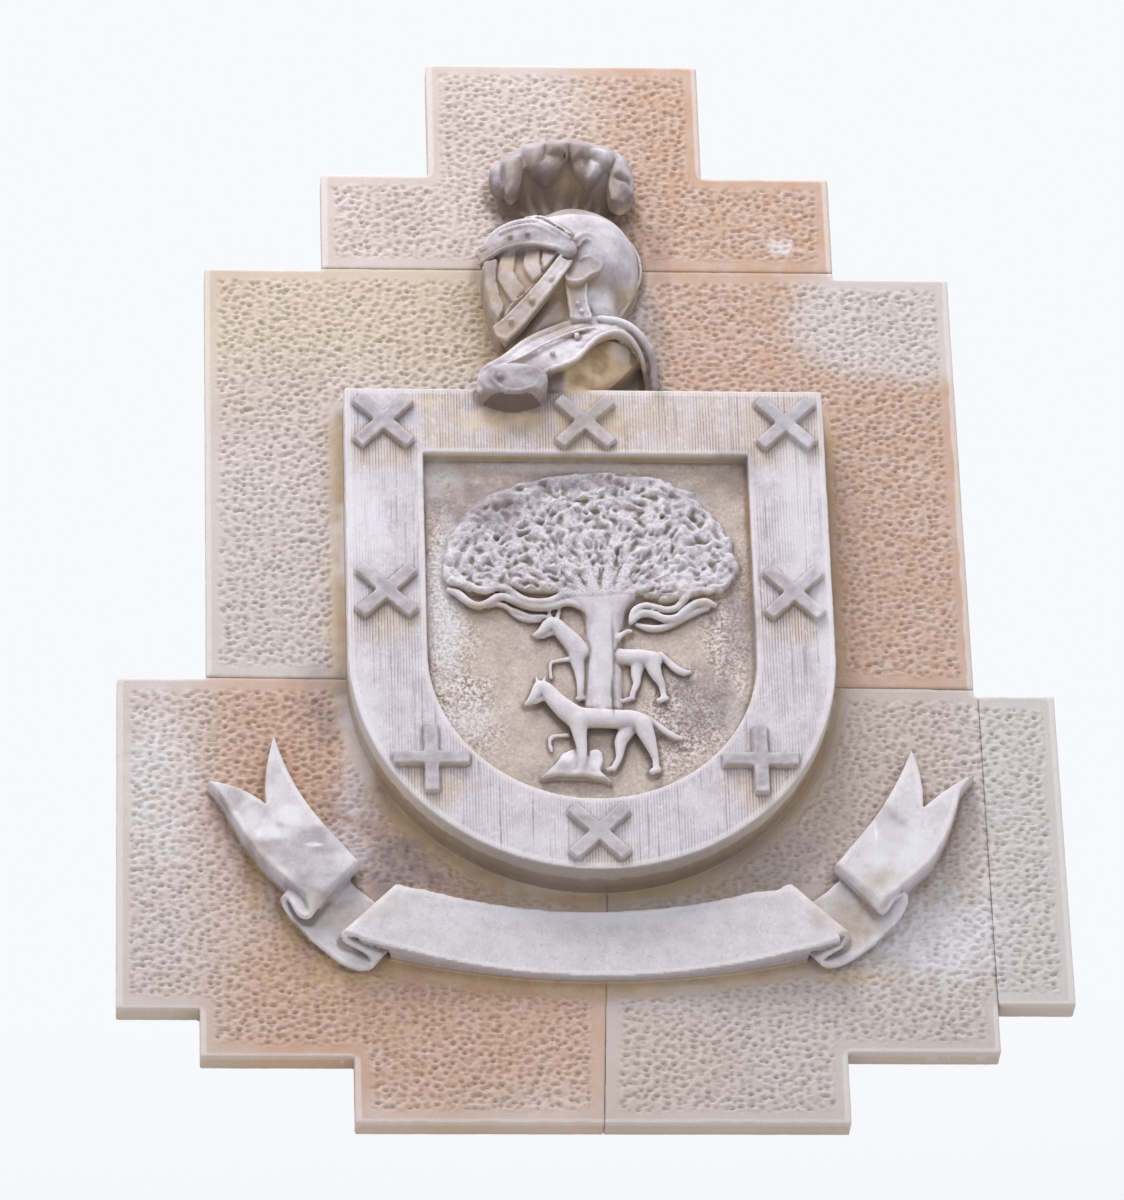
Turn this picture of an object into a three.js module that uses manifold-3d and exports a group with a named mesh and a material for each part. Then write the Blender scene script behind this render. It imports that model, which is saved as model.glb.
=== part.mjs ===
// A coat of arms carved in sandstone: a stepped backing of five stones that carries a shield
// with a tree and two wolves, a plumed helmet above it and a blank ribbon below.
// Millimetres, +Z up. X runs to the right and Y runs into the wall. The origin is on the flat
// back face, at half the height of the panel, where a wall holds it.

import * as THREE from "three";
import { mergeVertices } from "three/addons/utils/BufferGeometryUtils.js";
import Module from "manifold-3d";

const wasm = await Module();
wasm.setup();

// The backing: how far it stands out of the wall, and the width of the joints between its stones
const backingProud = 32;
const jointGap = 0.3;

// How far each course reaches to the left and to the right of the centre line, top course first
const topLeft = 191;
const topRight = 173;
const shoulderLeft = 334;
const shoulderRight = 342;
const middleLeft = 489;
const middleRight = 494;
const lowerLeft = 603;
const lowerRight = 597;
const stepLeft = 499;
const stepRight = 499;
const footLeft = 308;
const footRight = 307;

// The height of each course, the sum of which is the height of the panel
const topHeight = 178;
const shoulderHeight = 148;
const middleHeight = 619;
const lowerHeight = 473;
const stepHeight = 67;
const footHeight = 90;

// Hand-cut unevenness: the fall of the long joint, the ledges cut below the joints, the right
// steps that end higher than the left ones, and the lean of the centre joint
const jointFall = 12;
const ledgeLeft = 2;
const ledgeRight = 9;
const stepRise = 8;
const centreJointTop = 26;
const centreJointFoot = 0;

// The shield: half its width, how far its top lies under the upper joint and the spring of its
// round foot over the long joint, how far it stands out of the backing, its border and its field
const shieldHalfWidth = 311;
const shieldTopDrop = 224.5;
const shieldSpringRise = 1.5;
const shieldThickness = 66;
const borderWidth = 101;
const topBorderWidth = 98;
const fieldDepth = 20;

// The crosses on the border
const crossLength = 96;
const crossWidth = 18;
const crossRaise = 10;
const sideCrossRise = 87;
const uprightCrossTurn = 37;

// The tree on the field. Heights here are over the spring of the shield's foot.
const treeX = 18;
const crownHalfWidth = 192;
const crownFootRise = 80;
const crownTopGap = 17;
const crownRaise = 17;
const leafRadius = 22;
const leafSpacing = 46;
const trunkFootRise = -84;
const trunkRadius = 20;
const fringeRadius = 7;

// The wolves: the length from the shoulder to the rump, where each shoulder is, and how far each
// is set out of the field
const wolfLength = 94;
const frontWolfX = -22;
const frontWolfRise = -80;
const frontWolfRaise = 4;
const backWolfX = -14;
const backWolfRise = 6;
const backWolfRaise = -2;

// The mound under the wolves: its middle, its width and how far it stands out of the field
const moundX = -30;
const moundRise = -160;
const moundWidth = 96;
const moundRaise = 14;

// The ribbon: how far it lies under the shield, the radius of its curve, its width and thickness,
// half its opening and how far it stands out of the backing
const ribbonGap = 41;
const ribbonRadius = 765;
const ribbonWidth = 94;
const ribbonThickness = 9;
const ribbonHalfTurn = 20.4;
const ribbonMiddleRaise = 20;
const ribbonEndRaise = 42;
const ribbonTipRaise = 22;

// The helmet: its middle, its length from brow to nape, how far it stands out of the backing
const helmetX = -20;
const helmetDrop = 36.5;
const helmetLength = 204;
const helmetHeight = 200;
const helmetRaise = 84;
const plateThickness = 7;
const barRadius = 7;
const rivetRadius = 4;

// The plume above the helmet
const plumeX = -19;
const plumeRise = 125;
const plumeHalfWidth = 95;
const plumeHeight = 80;
const plumeRaise = 68;
const featherRadius = 21;
const featherCount = 6;

// Heights of the joints and levels, from the panel's base up
const panelHeight = topHeight + shoulderHeight + middleHeight + lowerHeight + stepHeight + footHeight;
const footZ = -panelHeight / 2;
const stepZ = footZ + footHeight;
const lowerZ = stepZ + stepHeight;
const lowerJointZ = lowerZ + lowerHeight;
const upperJointZ = lowerJointZ + middleHeight;
const shoulderZ = upperJointZ + shoulderHeight;
const topZ = shoulderZ + topHeight;

// Heights of the carving
const shieldTop = upperJointZ - shieldTopDrop;
const shieldSpring = lowerJointZ + shieldSpringRise;
const fieldTop = shieldTop - topBorderWidth;
const crownFoot = shieldSpring + crownFootRise;
const crownTop = fieldTop - crownTopGap;
const crownZ = crownFoot + (crownTop - crownFoot) * 0.26;
const ribbonCentreZ = shieldSpring - shieldHalfWidth - ribbonGap + ribbonRadius;
const helmetZ = upperJointZ - helmetDrop;
const plumeZ = helmetZ + plumeRise;

// Distances out of the wall that the carving is worked from
const shieldProud = backingProud + shieldThickness;
const fieldProud = shieldProud - fieldDepth;
const fieldHalfWidth = shieldHalfWidth - borderWidth;

// A piece of carving is rooted this far inside the stone behind it, so that it joins cleanly
const root = 6;
const curveSteps = 20;

// A closed geometry as a solid that can be joined and cut
function solid(geometry) {
  const bare = geometry.clone();
  bare.deleteAttribute("normal");
  bare.deleteAttribute("uv");
  const welded = mergeVertices(bare, 1e-4);
  return new wasm.Manifold(new wasm.Mesh({
    numProp: 3,
    vertProperties: new Float32Array(welded.attributes.position.array),
    triVerts: new Uint32Array(welded.index.array),
  }));
}

function joined(solids) {
  return solids.reduce((sum, next) => sum.add(next));
}

// A flat shape drawn in X and Z, running from one distance out of the wall to another
function slab(shape, from, to, edge = 0, segments = curveSteps) {
  const geometry = new THREE.ExtrudeGeometry(shape, {
    depth: to - from - edge,
    curveSegments: segments,
    bevelEnabled: edge > 0,
    bevelThickness: edge,
    bevelSize: edge,
    bevelOffset: -edge,
    bevelSegments: 1,
  });
  geometry.rotateX(Math.PI / 2);
  geometry.translate(0, -from, 0);
  return geometry;
}

function polygon(points) {
  return new THREE.Shape(points.map(([x, z]) => new THREE.Vector2(x, z)));
}

// A rounded limb through stations given as [x, z, distance out of the wall, radius].
// depth is how deep its section is as a share of how wide it is. With a floor, its back is flat
// at that distance out of the wall. With a hinge, it bends about that direction only.
function limb(stations, { around = 6, depth = 1, floor = null, hinge = null } = {}) {
  const last = stations.length - 1;
  const centres = stations.map(([x, z, proud]) => new THREE.Vector3(x, -proud, z));
  const outward = new THREE.Vector3(0, -1, 0);
  const geometry = new THREE.CylinderGeometry(1, 1, last, around, last);
  const place = geometry.attributes.position;
  for (let i = 0; i < place.count; i += 1) {
    const station = Math.round(place.getY(i) + last / 2);
    const radius = stations[station][3];
    const next = centres[Math.min(station + 1, last)];
    const along = next.clone().sub(centres[Math.max(station - 1, 0)]).normalize();
    const side = hinge ?? along.clone().cross(outward).normalize();
    const front = side.clone().cross(along).normalize();
    const point = centres[station].clone();
    point.addScaledVector(side, radius * place.getX(i));
    point.addScaledVector(front, radius * depth * place.getZ(i));
    if (floor !== null && place.getZ(i) < 0) {
      point.y = -floor;
    }
    place.setXYZ(i, point.x, point.y, point.z);
  }
  return solid(geometry);
}

// A rounded lump, given by its centre and its half sizes across, up and out of the wall
function lump([x, z, proud], [across, up, out], { detail = 1, turn = 0 } = {}) {
  const geometry = new THREE.IcosahedronGeometry(1, detail);
  geometry.rotateY(turn);
  geometry.scale(across, out, up);
  geometry.translate(x, -proud, z);
  return solid(geometry);
}

// A body with an oval section at each station, from the lowest to the highest.
// A station is [z, middle x, half width, distance out of the wall of its middle, half depth].
// A fullness over 1 makes the ovals squarer.
function lofted(stations, { around = 16, fullness = 1 } = {}) {
  const fuller = (value) => Math.sign(value) * Math.abs(value) ** (1 / fullness);
  const last = stations.length - 1;
  const geometry = new THREE.CylinderGeometry(1, 1, last, around, last);
  const place = geometry.attributes.position;
  for (let i = 0; i < place.count; i += 1) {
    const [z, x, halfWidth, proud, halfDepth] = stations[Math.round(place.getY(i) + last / 2)];
    const across = halfWidth * fuller(place.getX(i));
    const out = halfDepth * fuller(place.getZ(i));
    place.setXYZ(i, x + across, -(proud + out), z);
  }
  return solid(geometry);
}

// A curved sheet between a lower and an upper edge, whose points are [x, z, distance out of the
// wall]. Its front lies on the edges, bulged in the middle, and its thickness lies behind them.
// A folded sheet has half its thickness on each side of its edges.
function sheet(lower, upper, { thickness, steps = 12, bulge = 0, folded = false }) {
  const across = bulge > 0 ? 2 : 1;
  const front = folded ? -thickness / 2 : 0;
  const toVector = ([x, z, proud]) => new THREE.Vector3(x, -proud, z);
  const lowCurve = new THREE.CatmullRomCurve3(lower.map(toVector));
  const highCurve = new THREE.CatmullRomCurve3(upper.map(toVector));
  const geometry = new THREE.BoxGeometry(1, 1, 1, steps, 1, across);
  const place = geometry.attributes.position;
  for (let i = 0; i < place.count; i += 1) {
    const along = place.getX(i) + 0.5;
    const up = place.getZ(i) + 0.5;
    const low = lowCurve.getPoint(along);
    const high = highCurve.getPoint(along);
    const run = lowCurve.getTangent(along).add(highCurve.getTangent(along));
    const inward = high.clone().sub(low).cross(run).normalize();
    const crest = bulge * (1 - (2 * up - 1) ** 2);
    const depth = place.getY(i) > 0 ? front + thickness : front - crest;
    const point = low.lerp(high, up).addScaledVector(inward, depth);
    place.setXYZ(i, point.x, point.y, point.z);
  }
  return solid(geometry);
}

// The outlines of the five stones, each half a joint gap short of its neighbours

const half = jointGap / 2;

function longJointZ(x) {
  return lowerJointZ - jointFall * (x + middleLeft) / (middleLeft + middleRight);
}

function centreJointX(z) {
  const share = (z - footZ) / (lowerJointZ - footZ);
  return centreJointFoot + (centreJointTop - centreJointFoot) * share;
}

const outlines = {
  crest_stone: [
    [-shoulderLeft, upperJointZ + half],
    [shoulderRight, upperJointZ + half],
    [shoulderRight, shoulderZ],
    [topRight, shoulderZ],
    [topRight, topZ],
    [-topLeft, topZ],
    [-topLeft, shoulderZ],
    [-shoulderLeft, shoulderZ],
  ],
  middle_stone: [
    [-middleLeft, longJointZ(-middleLeft) + half],
    [middleRight, longJointZ(middleRight) + half],
    [middleRight, upperJointZ - ledgeRight],
    [shoulderRight, upperJointZ - ledgeRight],
    [shoulderRight, upperJointZ - half],
    [-shoulderLeft, upperJointZ - half],
    [-shoulderLeft, upperJointZ - ledgeLeft],
    [-middleLeft, upperJointZ - ledgeLeft],
  ],
  lower_left_stone: [
    [-footLeft, footZ],
    [centreJointX(footZ) - half, footZ],
    [centreJointX(lowerJointZ) - half, longJointZ(centreJointTop) - half],
    [-middleLeft, longJointZ(-middleLeft) - half],
    [-middleLeft, lowerJointZ - ledgeLeft],
    [-lowerLeft, lowerJointZ - ledgeLeft],
    [-lowerLeft, lowerZ],
    [-stepLeft, lowerZ],
    [-stepLeft, stepZ],
    [-footLeft, stepZ],
  ],
  lower_right_stone: [
    [centreJointX(footZ) + half, footZ],
    [footRight, footZ],
    [footRight, stepZ + stepRise],
    [stepRight, stepZ + stepRise],
    [stepRight, lowerJointZ - jointFall - ledgeRight],
    [middleRight, lowerJointZ - jointFall - ledgeRight],
    [middleRight, longJointZ(middleRight) - half],
    [centreJointX(lowerJointZ) + half, longJointZ(centreJointTop) - half],
  ],
  right_end_stone: [
    [stepRight + jointGap, lowerZ + stepRise],
    [lowerRight, lowerZ + stepRise],
    [lowerRight, lowerJointZ - jointFall - ledgeRight],
    [stepRight + jointGap, lowerJointZ - jointFall - ledgeRight],
  ],
};

// The shield: a square top, and below it a half round. The field keeps the same centre.
function shieldShape(halfWidth, top) {
  const shape = new THREE.Shape();
  shape.moveTo(-halfWidth, top);
  shape.lineTo(-halfWidth, shieldSpring);
  shape.absarc(0, shieldSpring, halfWidth, Math.PI, 2 * Math.PI, false);
  shape.lineTo(halfWidth, top);
  return shape;
}

function shield() {
  const block = solid(slab(shieldShape(shieldHalfWidth, shieldTop), backingProud - root, shieldProud));
  const hollow = solid(slab(shieldShape(fieldHalfWidth, fieldTop), fieldProud, shieldProud + root));
  return block.subtract(hollow);
}

function cross(x, z, turn) {
  const bar = polygon([
    [-crossLength / 2, -crossWidth / 2],
    [crossLength / 2, -crossWidth / 2],
    [crossLength / 2, crossWidth / 2],
    [-crossLength / 2, crossWidth / 2],
  ]);
  const bars = [turn, turn + 90].map((degrees) => {
    const geometry = slab(bar, shieldProud - root, shieldProud + crossRaise);
    geometry.rotateY(THREE.MathUtils.degToRad(degrees));
    geometry.translate(x, 0, z);
    return solid(geometry);
  });
  return joined(bars);
}

function crosses() {
  const middle = shieldHalfWidth - borderWidth / 2;
  const topCrossZ = shieldTop - crossLength / 2 - crossWidth / 4;
  const turned = 45;
  const upright = THREE.MathUtils.degToRad(uprightCrossTurn);
  const places = [
    [-middle, topCrossZ, turned],
    [0, topCrossZ, turned],
    [middle, topCrossZ, turned],
    [-middle, shieldSpring + sideCrossRise, turned],
    [middle, shieldSpring + sideCrossRise, turned],
    [0, shieldSpring - middle, turned],
    [-middle * Math.cos(upright), shieldSpring - middle * Math.sin(upright), 0],
    [middle * Math.cos(upright), shieldSpring - middle * Math.sin(upright), 0],
  ];
  return joined(places.map(([x, z, turn]) => cross(x, z, turn)));
}

// The crown of the tree is fuller than an oval. A share of 1 at a place is on its edge.
const crownX = treeX / 4;
const crownRise = crownTop - crownZ;
const crownDrop = crownZ - crownFoot;
const crownFullness = 2.5;

function crownShare(x, z) {
  const across = Math.abs(x - crownX) / crownHalfWidth;
  const up = Math.abs(z - crownZ) / (z > crownZ ? crownRise : crownDrop);
  return across ** crownFullness + up ** crownFullness;
}

function crownEdge(turn) {
  const across = Math.cos(turn);
  const up = Math.sin(turn);
  const height = up > 0 ? crownRise : crownDrop;
  const reach = (Math.abs(across) ** crownFullness + Math.abs(up) ** crownFullness) ** (-1 / crownFullness);
  return [crownX + crownHalfWidth * reach * across, crownZ + height * reach * up];
}

function crown() {
  const edge = [];
  const sides = 28;
  for (let i = 0; i < sides; i += 1) {
    edge.push(crownEdge((2 * Math.PI * i) / sides));
  }
  const bed = solid(slab(polygon(edge), fieldProud - root, fieldProud + crownRaise * 0.7, crownRaise * 0.55));
  const leaves = [];
  const rows = Math.round((crownRise + crownDrop) / (leafSpacing * 0.85));
  const columns = Math.round((2 * crownHalfWidth) / leafSpacing);
  for (let row = 0; row < rows; row += 1) {
    for (let column = 0; column <= columns; column += 1) {
      const turn = row * 5 + column * 3;
      const x = crownX - crownHalfWidth + (column + (row % 2) / 2 + Math.sin(turn) / 4) * leafSpacing;
      const rise = (row + 0.5 + Math.cos(turn) / 5) / rows;
      const z = crownZ - crownDrop + rise * (crownRise + crownDrop);
      const share = crownShare(x, z);
      if (share < 0.9) {
        const proud = fieldProud + crownRaise * (0.9 - share / 2);
        leaves.push(lump([x, z, proud], [leafRadius, leafRadius * 0.75, leafRadius * 0.45], { detail: 0, turn }));
      }
    }
  }
  return joined([bed, ...leaves]);
}

// The trunk widens at its foot and at its fork, and its limbs run up into the leaves
function trunk() {
  const proud = fieldProud;
  const fork = crownFoot;
  const foot = shieldSpring + trunkFootRise;
  const waist = (foot + fork) / 2 + trunkRadius;
  const lean = trunkRadius / 10;
  const stem = lofted([
    [foot, treeX - lean, trunkRadius * 1.35, proud, trunkRadius * 0.75],
    [waist, treeX, trunkRadius, proud, trunkRadius * 0.8],
    [fork, treeX + lean, trunkRadius * 1.3, proud, trunkRadius * 0.9],
    [fork + trunkRadius * 1.5, treeX + lean, trunkRadius * 2.1, proud, trunkRadius * 0.9],
  ], { around: 10 });
  const reach = crownHalfWidth * 0.42;
  const boughs = [-70, -35, 0, 35, 70].map((turn) => {
    const angle = THREE.MathUtils.degToRad(turn);
    const tipX = treeX + reach * Math.sin(angle);
    const tipZ = fork + reach * (0.1 + Math.cos(angle));
    return limb([
      [treeX, fork, proud + trunkRadius * 0.2, trunkRadius * 0.75],
      [tipX, tipZ, proud + crownRaise * 0.8, trunkRadius * 0.3],
    ]);
  });
  const stub = limb([
    [treeX, waist + trunkRadius, proud, trunkRadius * 0.3],
    [treeX + trunkRadius * 1.9, waist + trunkRadius * 1.8, proud, trunkRadius * 0.2],
  ]);
  return joined([stem, stub, ...boughs]);
}

// A wavy branch that hangs along the lower edge of the crown
function fringe(startX, endX, startZ, endZ, waves) {
  const stations = [];
  const count = waves * 4;
  for (let i = 0; i <= count; i += 1) {
    const share = i / count;
    const wave = fringeRadius * Math.cos((share * waves + 0.5) * 2 * Math.PI);
    const x = startX + (endX - startX) * share;
    stations.push([x, startZ + (endZ - startZ) * share + wave, fieldProud + fringeRadius / 2, fringeRadius]);
  }
  return limb(stations, { floor: fieldProud - root });
}

function fringes() {
  const low = crownFoot;
  return joined([
    fringe(treeX - trunkRadius, crownX - crownHalfWidth, low - fringeRadius, low + fringeRadius, 2),
    fringe(treeX - trunkRadius * 4, crownX - crownHalfWidth * 0.6, low - fringeRadius * 2, low - fringeRadius * 2, 1),
    fringe(treeX + trunkRadius, crownX + crownHalfWidth * 0.85, low - fringeRadius * 3, low + fringeRadius * 3, 2),
    fringe(treeX + trunkRadius * 2, crownX + crownHalfWidth * 0.9, low - fringeRadius, low + fringeRadius * 3, 1),
  ]);
}

// A standing wolf that faces left with one forepaw raised. Each station of a limb is shares of
// its length, measured from the shoulder as [across, up, out of the field, radius].
function wolf(x, z, { headRise, floorRise, hindShift, raise }) {
  const part = (stations) => {
    const placed = stations.map(([across, up, out, radius]) => [
      x + across * wolfLength,
      z + up * wolfLength,
      fieldProud + raise + out * wolfLength,
      radius * wolfLength,
    ]);
    return limb(placed, { depth: 0.7, floor: fieldProud - root });
  };
  const head = headRise;
  const hind = hindShift;
  const floor = floorRise - 0.99;
  const hock = floorRise / 2 - 0.7;
  const paw = floorRise * 0.8 - 0.26;
  return joined([
    part([
      [-0.68, 0.12 + head, 0.05, 0.035], [-0.55, 0.19 + head, 0.05, 0.065], [-0.38, 0.29 + head, 0.05, 0.1],
      [-0.22, 0.14 + head / 2, 0.04, 0.12], [-0.04, -0.04, 0.03, 0.17], [0.2, -0.14, 0.02, 0.175],
      [0.55, -0.14, 0.02, 0.145], [0.84 + hind, -0.16, 0.02, 0.16], [1 + hind, -0.19, 0.02, 0.1],
      [1.15 + hind, -0.3, 0.02, 0.06], [1.28 + hind, -0.37, 0.02, 0.05], [1.4 + hind, -0.4, 0.02, 0.025],
    ]),
    part([[-0.34, 0.32 + head, 0.04, 0.06], [-0.4, 0.5 + head, 0.02, 0.02]]),
    part([[-0.27, 0.28 + head, 0.0, 0.06], [-0.28, 0.44 + head, 0.0, 0.02]]),
    part([
      [-0.01, -0.12, 0.07, 0.13], [-0.05, -0.45, 0.07, 0.075], [-0.05, floor + 0.08, 0.05, 0.055],
      [-0.14, floor, 0.04, 0.045],
    ]),
    part([
      [-0.02, paw, 0.0, 0.1], [-0.34, paw - 0.12, 0.0, 0.055], [-0.37, paw - 0.22, 0.0, 0.05],
      [-0.35, paw - 0.38, 0.0, 0.04],
    ]),
    part([
      [0.84 + hind, -0.2, 0.05, 0.17], [0.9 + hind, -0.42, 0.05, 0.12], [1.03 + hind, hock, 0.03, 0.06],
      [1.02 + hind, floor + 0.08, 0.03, 0.05], [0.93 + hind, floor, 0.03, 0.045],
    ]),
    part([
      [0.68 + hind, -0.28, -0.02, 0.13], [0.56 + hind, hock + 0.05, -0.01, 0.07],
      [0.5 + hind, floor + 0.14, 0.0, 0.05], [0.42 + hind, floor + 0.07, 0.0, 0.045],
    ]),
  ]);
}

const backWolfPose = { headRise: 0.14, floorRise: 0.24, hindShift: 0.1, raise: backWolfRaise };
const frontWolfPose = { headRise: 0, floorRise: 0, hindShift: 0, raise: frontWolfRaise };

// A low rock with two humps. Its outline is shares of its width.
function mound() {
  const outline = [
    [-0.5, -0.17], [-0.08, -0.25], [0.54, -0.27], [0.46, -0.14], [0.4, 0.12], [0.26, 0.28],
    [0.14, 0.18], [0.06, 0.02], [-0.06, 0.12], [-0.16, 0.23], [-0.3, 0.08],
  ];
  const places = outline.map(([x, z]) => [moundX + x * moundWidth, shieldSpring + moundRise + z * moundWidth]);
  return solid(slab(polygon(places), fieldProud - root, fieldProud + moundRaise, moundRaise / 3));
}

// The middle band of the ribbon is part of a ring, and stands out most at its ends

const ribbonEnd = THREE.MathUtils.degToRad(ribbonHalfTurn);

function bandPoint(radius, turn) {
  const raise = ribbonMiddleRaise + (ribbonEndRaise - ribbonMiddleRaise) * (turn / ribbonEnd) ** 2;
  return [radius * Math.sin(turn), ribbonCentreZ - radius * Math.cos(turn), backingProud + raise];
}

function ribbonBand() {
  const turns = [-1, -0.5, 0, 0.5, 1].map((share) => share * ribbonEnd);
  const lower = turns.map((turn) => bandPoint(ribbonRadius + ribbonWidth, turn));
  const upper = turns.map((turn) => bandPoint(ribbonRadius, turn));
  return sheet(lower, upper, { thickness: ribbonMiddleRaise + root, steps: 20 });
}

// A place on one end of the ribbon, from the lower corner of the band's end, as shares of the
// ribbon's width out and up, and of its rise over the backing. side is -1 on the left and 1 on
// the right, and out is the way away from the middle.
function besideBand(side, [out, up, raise]) {
  const [endX, endZ] = bandPoint(ribbonRadius + ribbonWidth, ribbonEnd);
  return [
    side * (endX + out * ribbonWidth),
    endZ + up * ribbonWidth,
    backingProud + raise * ribbonEndRaise,
  ];
}

// Behind the band the ribbon turns back twice, runs out along the backing and turns again.
// Each point of its path is a length along it and a rise over the backing.
function ribbonFolds(side) {
  const run = THREE.MathUtils.degToRad(40);
  const width = THREE.MathUtils.degToRad(124);
  const path = [
    [0.09, 1], [0.19, 0.88], [0.15, 0.71], [0, 0.64], [-0.21, 0.55], [-0.31, 0.36],
    [-0.21, 0.19], [0.19, 0.17], [0.6, 0.21], [0.98, 0.31], [1.15, 0.5], [1.1, 0.74],
    [0.94, 0.79], [0.79, 0.76], [0.68, 0.88], [0.73, 0.98], [0.89, 0.8],
  ];
  const lower = path.map(([length, raise]) => [
    length * Math.cos(run),
    length * Math.sin(run) - 0.085,
    raise,
  ]);
  const upper = lower.map(([out, up, raise]) => [out + Math.cos(width), up + Math.sin(width), raise]);
  const places = (points) => {
    const placed = points.map((point) => besideBand(side, point));
    return side > 0 ? placed : placed.reverse();
  };
  return sheet(places(lower), places(upper), {
    thickness: ribbonThickness,
    steps: 28,
    folded: true,
  });
}

// The forked tail, highest at its fold. Its sides run back to the backing. Its two tips are given
// as shares of the ribbon's width out and up.
function ribbonTail(side, outerTip, innerTip) {
  const shape = new THREE.Shape();
  const at = ([out, up]) => besideBand(side, [out, up, 0]);
  const bend = (control, end) => {
    const [controlX, controlZ] = at(control);
    const [endX, endZ] = at(end);
    shape.quadraticCurveTo(controlX, controlZ, endX, endZ);
  };
  const [startX, startZ] = at([0.66, 0.3]);
  shape.moveTo(startX, startZ);
  bend([0.9, 0.77], [1.28, 1.15]);
  bend([1.6, 1.6], [outerTip[0] - 0.23, outerTip[1] - 0.28]);
  bend([outerTip[0] - 0.11, outerTip[1] - 0.09], outerTip);
  bend([1.57, 2.36], [1.23, 2]);
  bend([1.29, 2.47], innerTip);
  bend([0.98, 2.55], [0.71, 2.07]);
  bend([0.47, 1.66], [0.03, 1.15]);
  const geometry = slab(shape, backingProud - root, backingProud + ribbonEndRaise, 0, 4);
  const place = geometry.attributes.position;
  const front = backingProud + ribbonEndRaise + ribbonThickness / 2;
  const climb = (ribbonEndRaise - ribbonTipRaise) / (innerTip[1] * ribbonWidth);
  for (let i = 0; i < place.count; i += 1) {
    if (-place.getY(i) > backingProud) {
      place.setY(i, climb * (place.getZ(i) - startZ) - front);
    }
  }
  return solid(geometry);
}

// The helmet is worked from its middle as shares of its length, its height and its relief
function onHelmet([across, up, out]) {
  return [
    helmetX + across * helmetLength,
    helmetZ + up * helmetHeight,
    backingProud + out * helmetRaise,
  ];
}

function helmetBody() {
  const station = (up, front, back, out) => {
    const [x, z, proud] = onHelmet([(front + back) / 2, up, 0]);
    return [z, x, ((back - front) / 2) * helmetLength, proud, out * helmetRaise];
  };
  return lofted([
    station(-0.5, -0.1, 0.34, 0.8),
    station(-0.36, -0.42, 0.38, 0.84),
    station(-0.12, -0.48, 0.47, 0.93),
    station(0.14, -0.5, 0.5, 0.98),
    station(0.34, -0.42, 0.43, 0.86),
    station(0.48, -0.26, 0.3, 0.62),
    station(0.56, -0.08, 0.14, 0.3),
  ], { fullness: 1.3 });
}

// A plate of armour bent over the helmet, between a lower and an upper edge
function plate(lower, upper, bulge, thickness = plateThickness) {
  return sheet(lower.map(onHelmet), upper.map(onHelmet), {
    thickness: thickness + root,
    steps: 7,
    bulge,
  });
}

function helmetPlates() {
  const bulge = plateThickness * 0.4;
  const brow = plate(
    [[-0.53, 0.0, 0.45], [-0.44, 0.1, 0.75], [-0.24, 0.15, 1.06], [-0.04, 0.09, 1.13]],
    [[-0.5, 0.2, 0.45], [-0.4, 0.27, 0.72], [-0.2, 0.28, 1.0], [0.0, 0.19, 1.13]],
    bulge,
  );
  const chin = plate(
    [[-0.37, -0.58, 0.75], [-0.14, -0.33, 1.05], [0.06, -0.04, 1.13]],
    [[-0.46, -0.49, 0.72], [-0.25, -0.2, 1.02], [-0.02, 0.06, 1.13]],
    bulge,
  );
  const ear = plate(
    [[0.02, -0.11, 1.04], [0.12, -0.12, 1.0], [0.22, -0.02, 0.94]],
    [[0.06, 0.2, 1.02], [0.14, 0.23, 0.96], [0.23, 0.18, 0.9]],
    bulge,
  );
  const neck = plate(
    [[0.04, -0.38, 0.88], [0.1, -0.38, 0.88], [0.16, -0.38, 0.86]],
    [[0.0, -0.12, 0.98], [0.07, -0.12, 0.98], [0.14, -0.12, 0.96]],
    bulge,
  );
  const boss = lump(onHelmet([0.03, 0.1, 1.1]), [rivetRadius * 3.2, rivetRadius * 3.8, rivetRadius * 3]);
  return joined([brow, chin, ear, neck, boss]);
}

// The bars of the visor, bent at half their height
function visorBars() {
  const bars = [-0.45, -0.35, -0.22, -0.1].map((across, index) => {
    const out = 0.72 + index * 0.1;
    const top = onHelmet([across, 0.14, out]);
    const bend = onHelmet([across + 0.01, -0.1 + index * 0.03, out]);
    const low = onHelmet([across + 0.09, -0.36 + index * 0.1, out - 0.02]);
    const stations = [[...top, barRadius], [...bend, barRadius * 1.15], [...low, barRadius * 0.85]];
    return limb(stations, { floor: backingProud + helmetRaise * 0.3 });
  });
  return joined(bars);
}

// The rolled rim that stands round the back of the skull
function napeRim() {
  const points = [[0.39, 0.36], [0.46, 0.22], [0.49, 0.06], [0.46, -0.08], [0.37, -0.22]];
  const stations = points.map((point) => [...onHelmet([...point, 0.22]), plateThickness]);
  return limb(stations, { floor: backingProud - root });
}

// The collar: a broad plate that runs from its rounded end in front, over the shoulder and
// down to the backing, with the neck above it and a hollow below it
const collarLower = [
  [-0.51, -1.12, 1.12],
  [-0.33, -1.15, 1.24],
  [-0.18, -1.08, 1.22],
  [-0.1, -0.9, 1.08],
  [0.02, -0.78, 0.98],
  [0.2, -0.58, 0.9],
  [0.36, -0.51, 0.78],
  [0.48, -0.6, 0.5],
  [0.53, -0.78, 0.08],
];
const collarUpper = [
  [-0.58, -1.02, 1.08],
  [-0.55, -0.86, 1.0],
  [-0.4, -0.72, 0.9],
  [-0.26, -0.57, 0.8],
  [-0.1, -0.46, 0.72],
  [0.08, -0.38, 0.66],
  [0.34, -0.36, 0.58],
  [0.52, -0.46, 0.34],
  [0.58, -0.72, 0.08],
];

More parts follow.
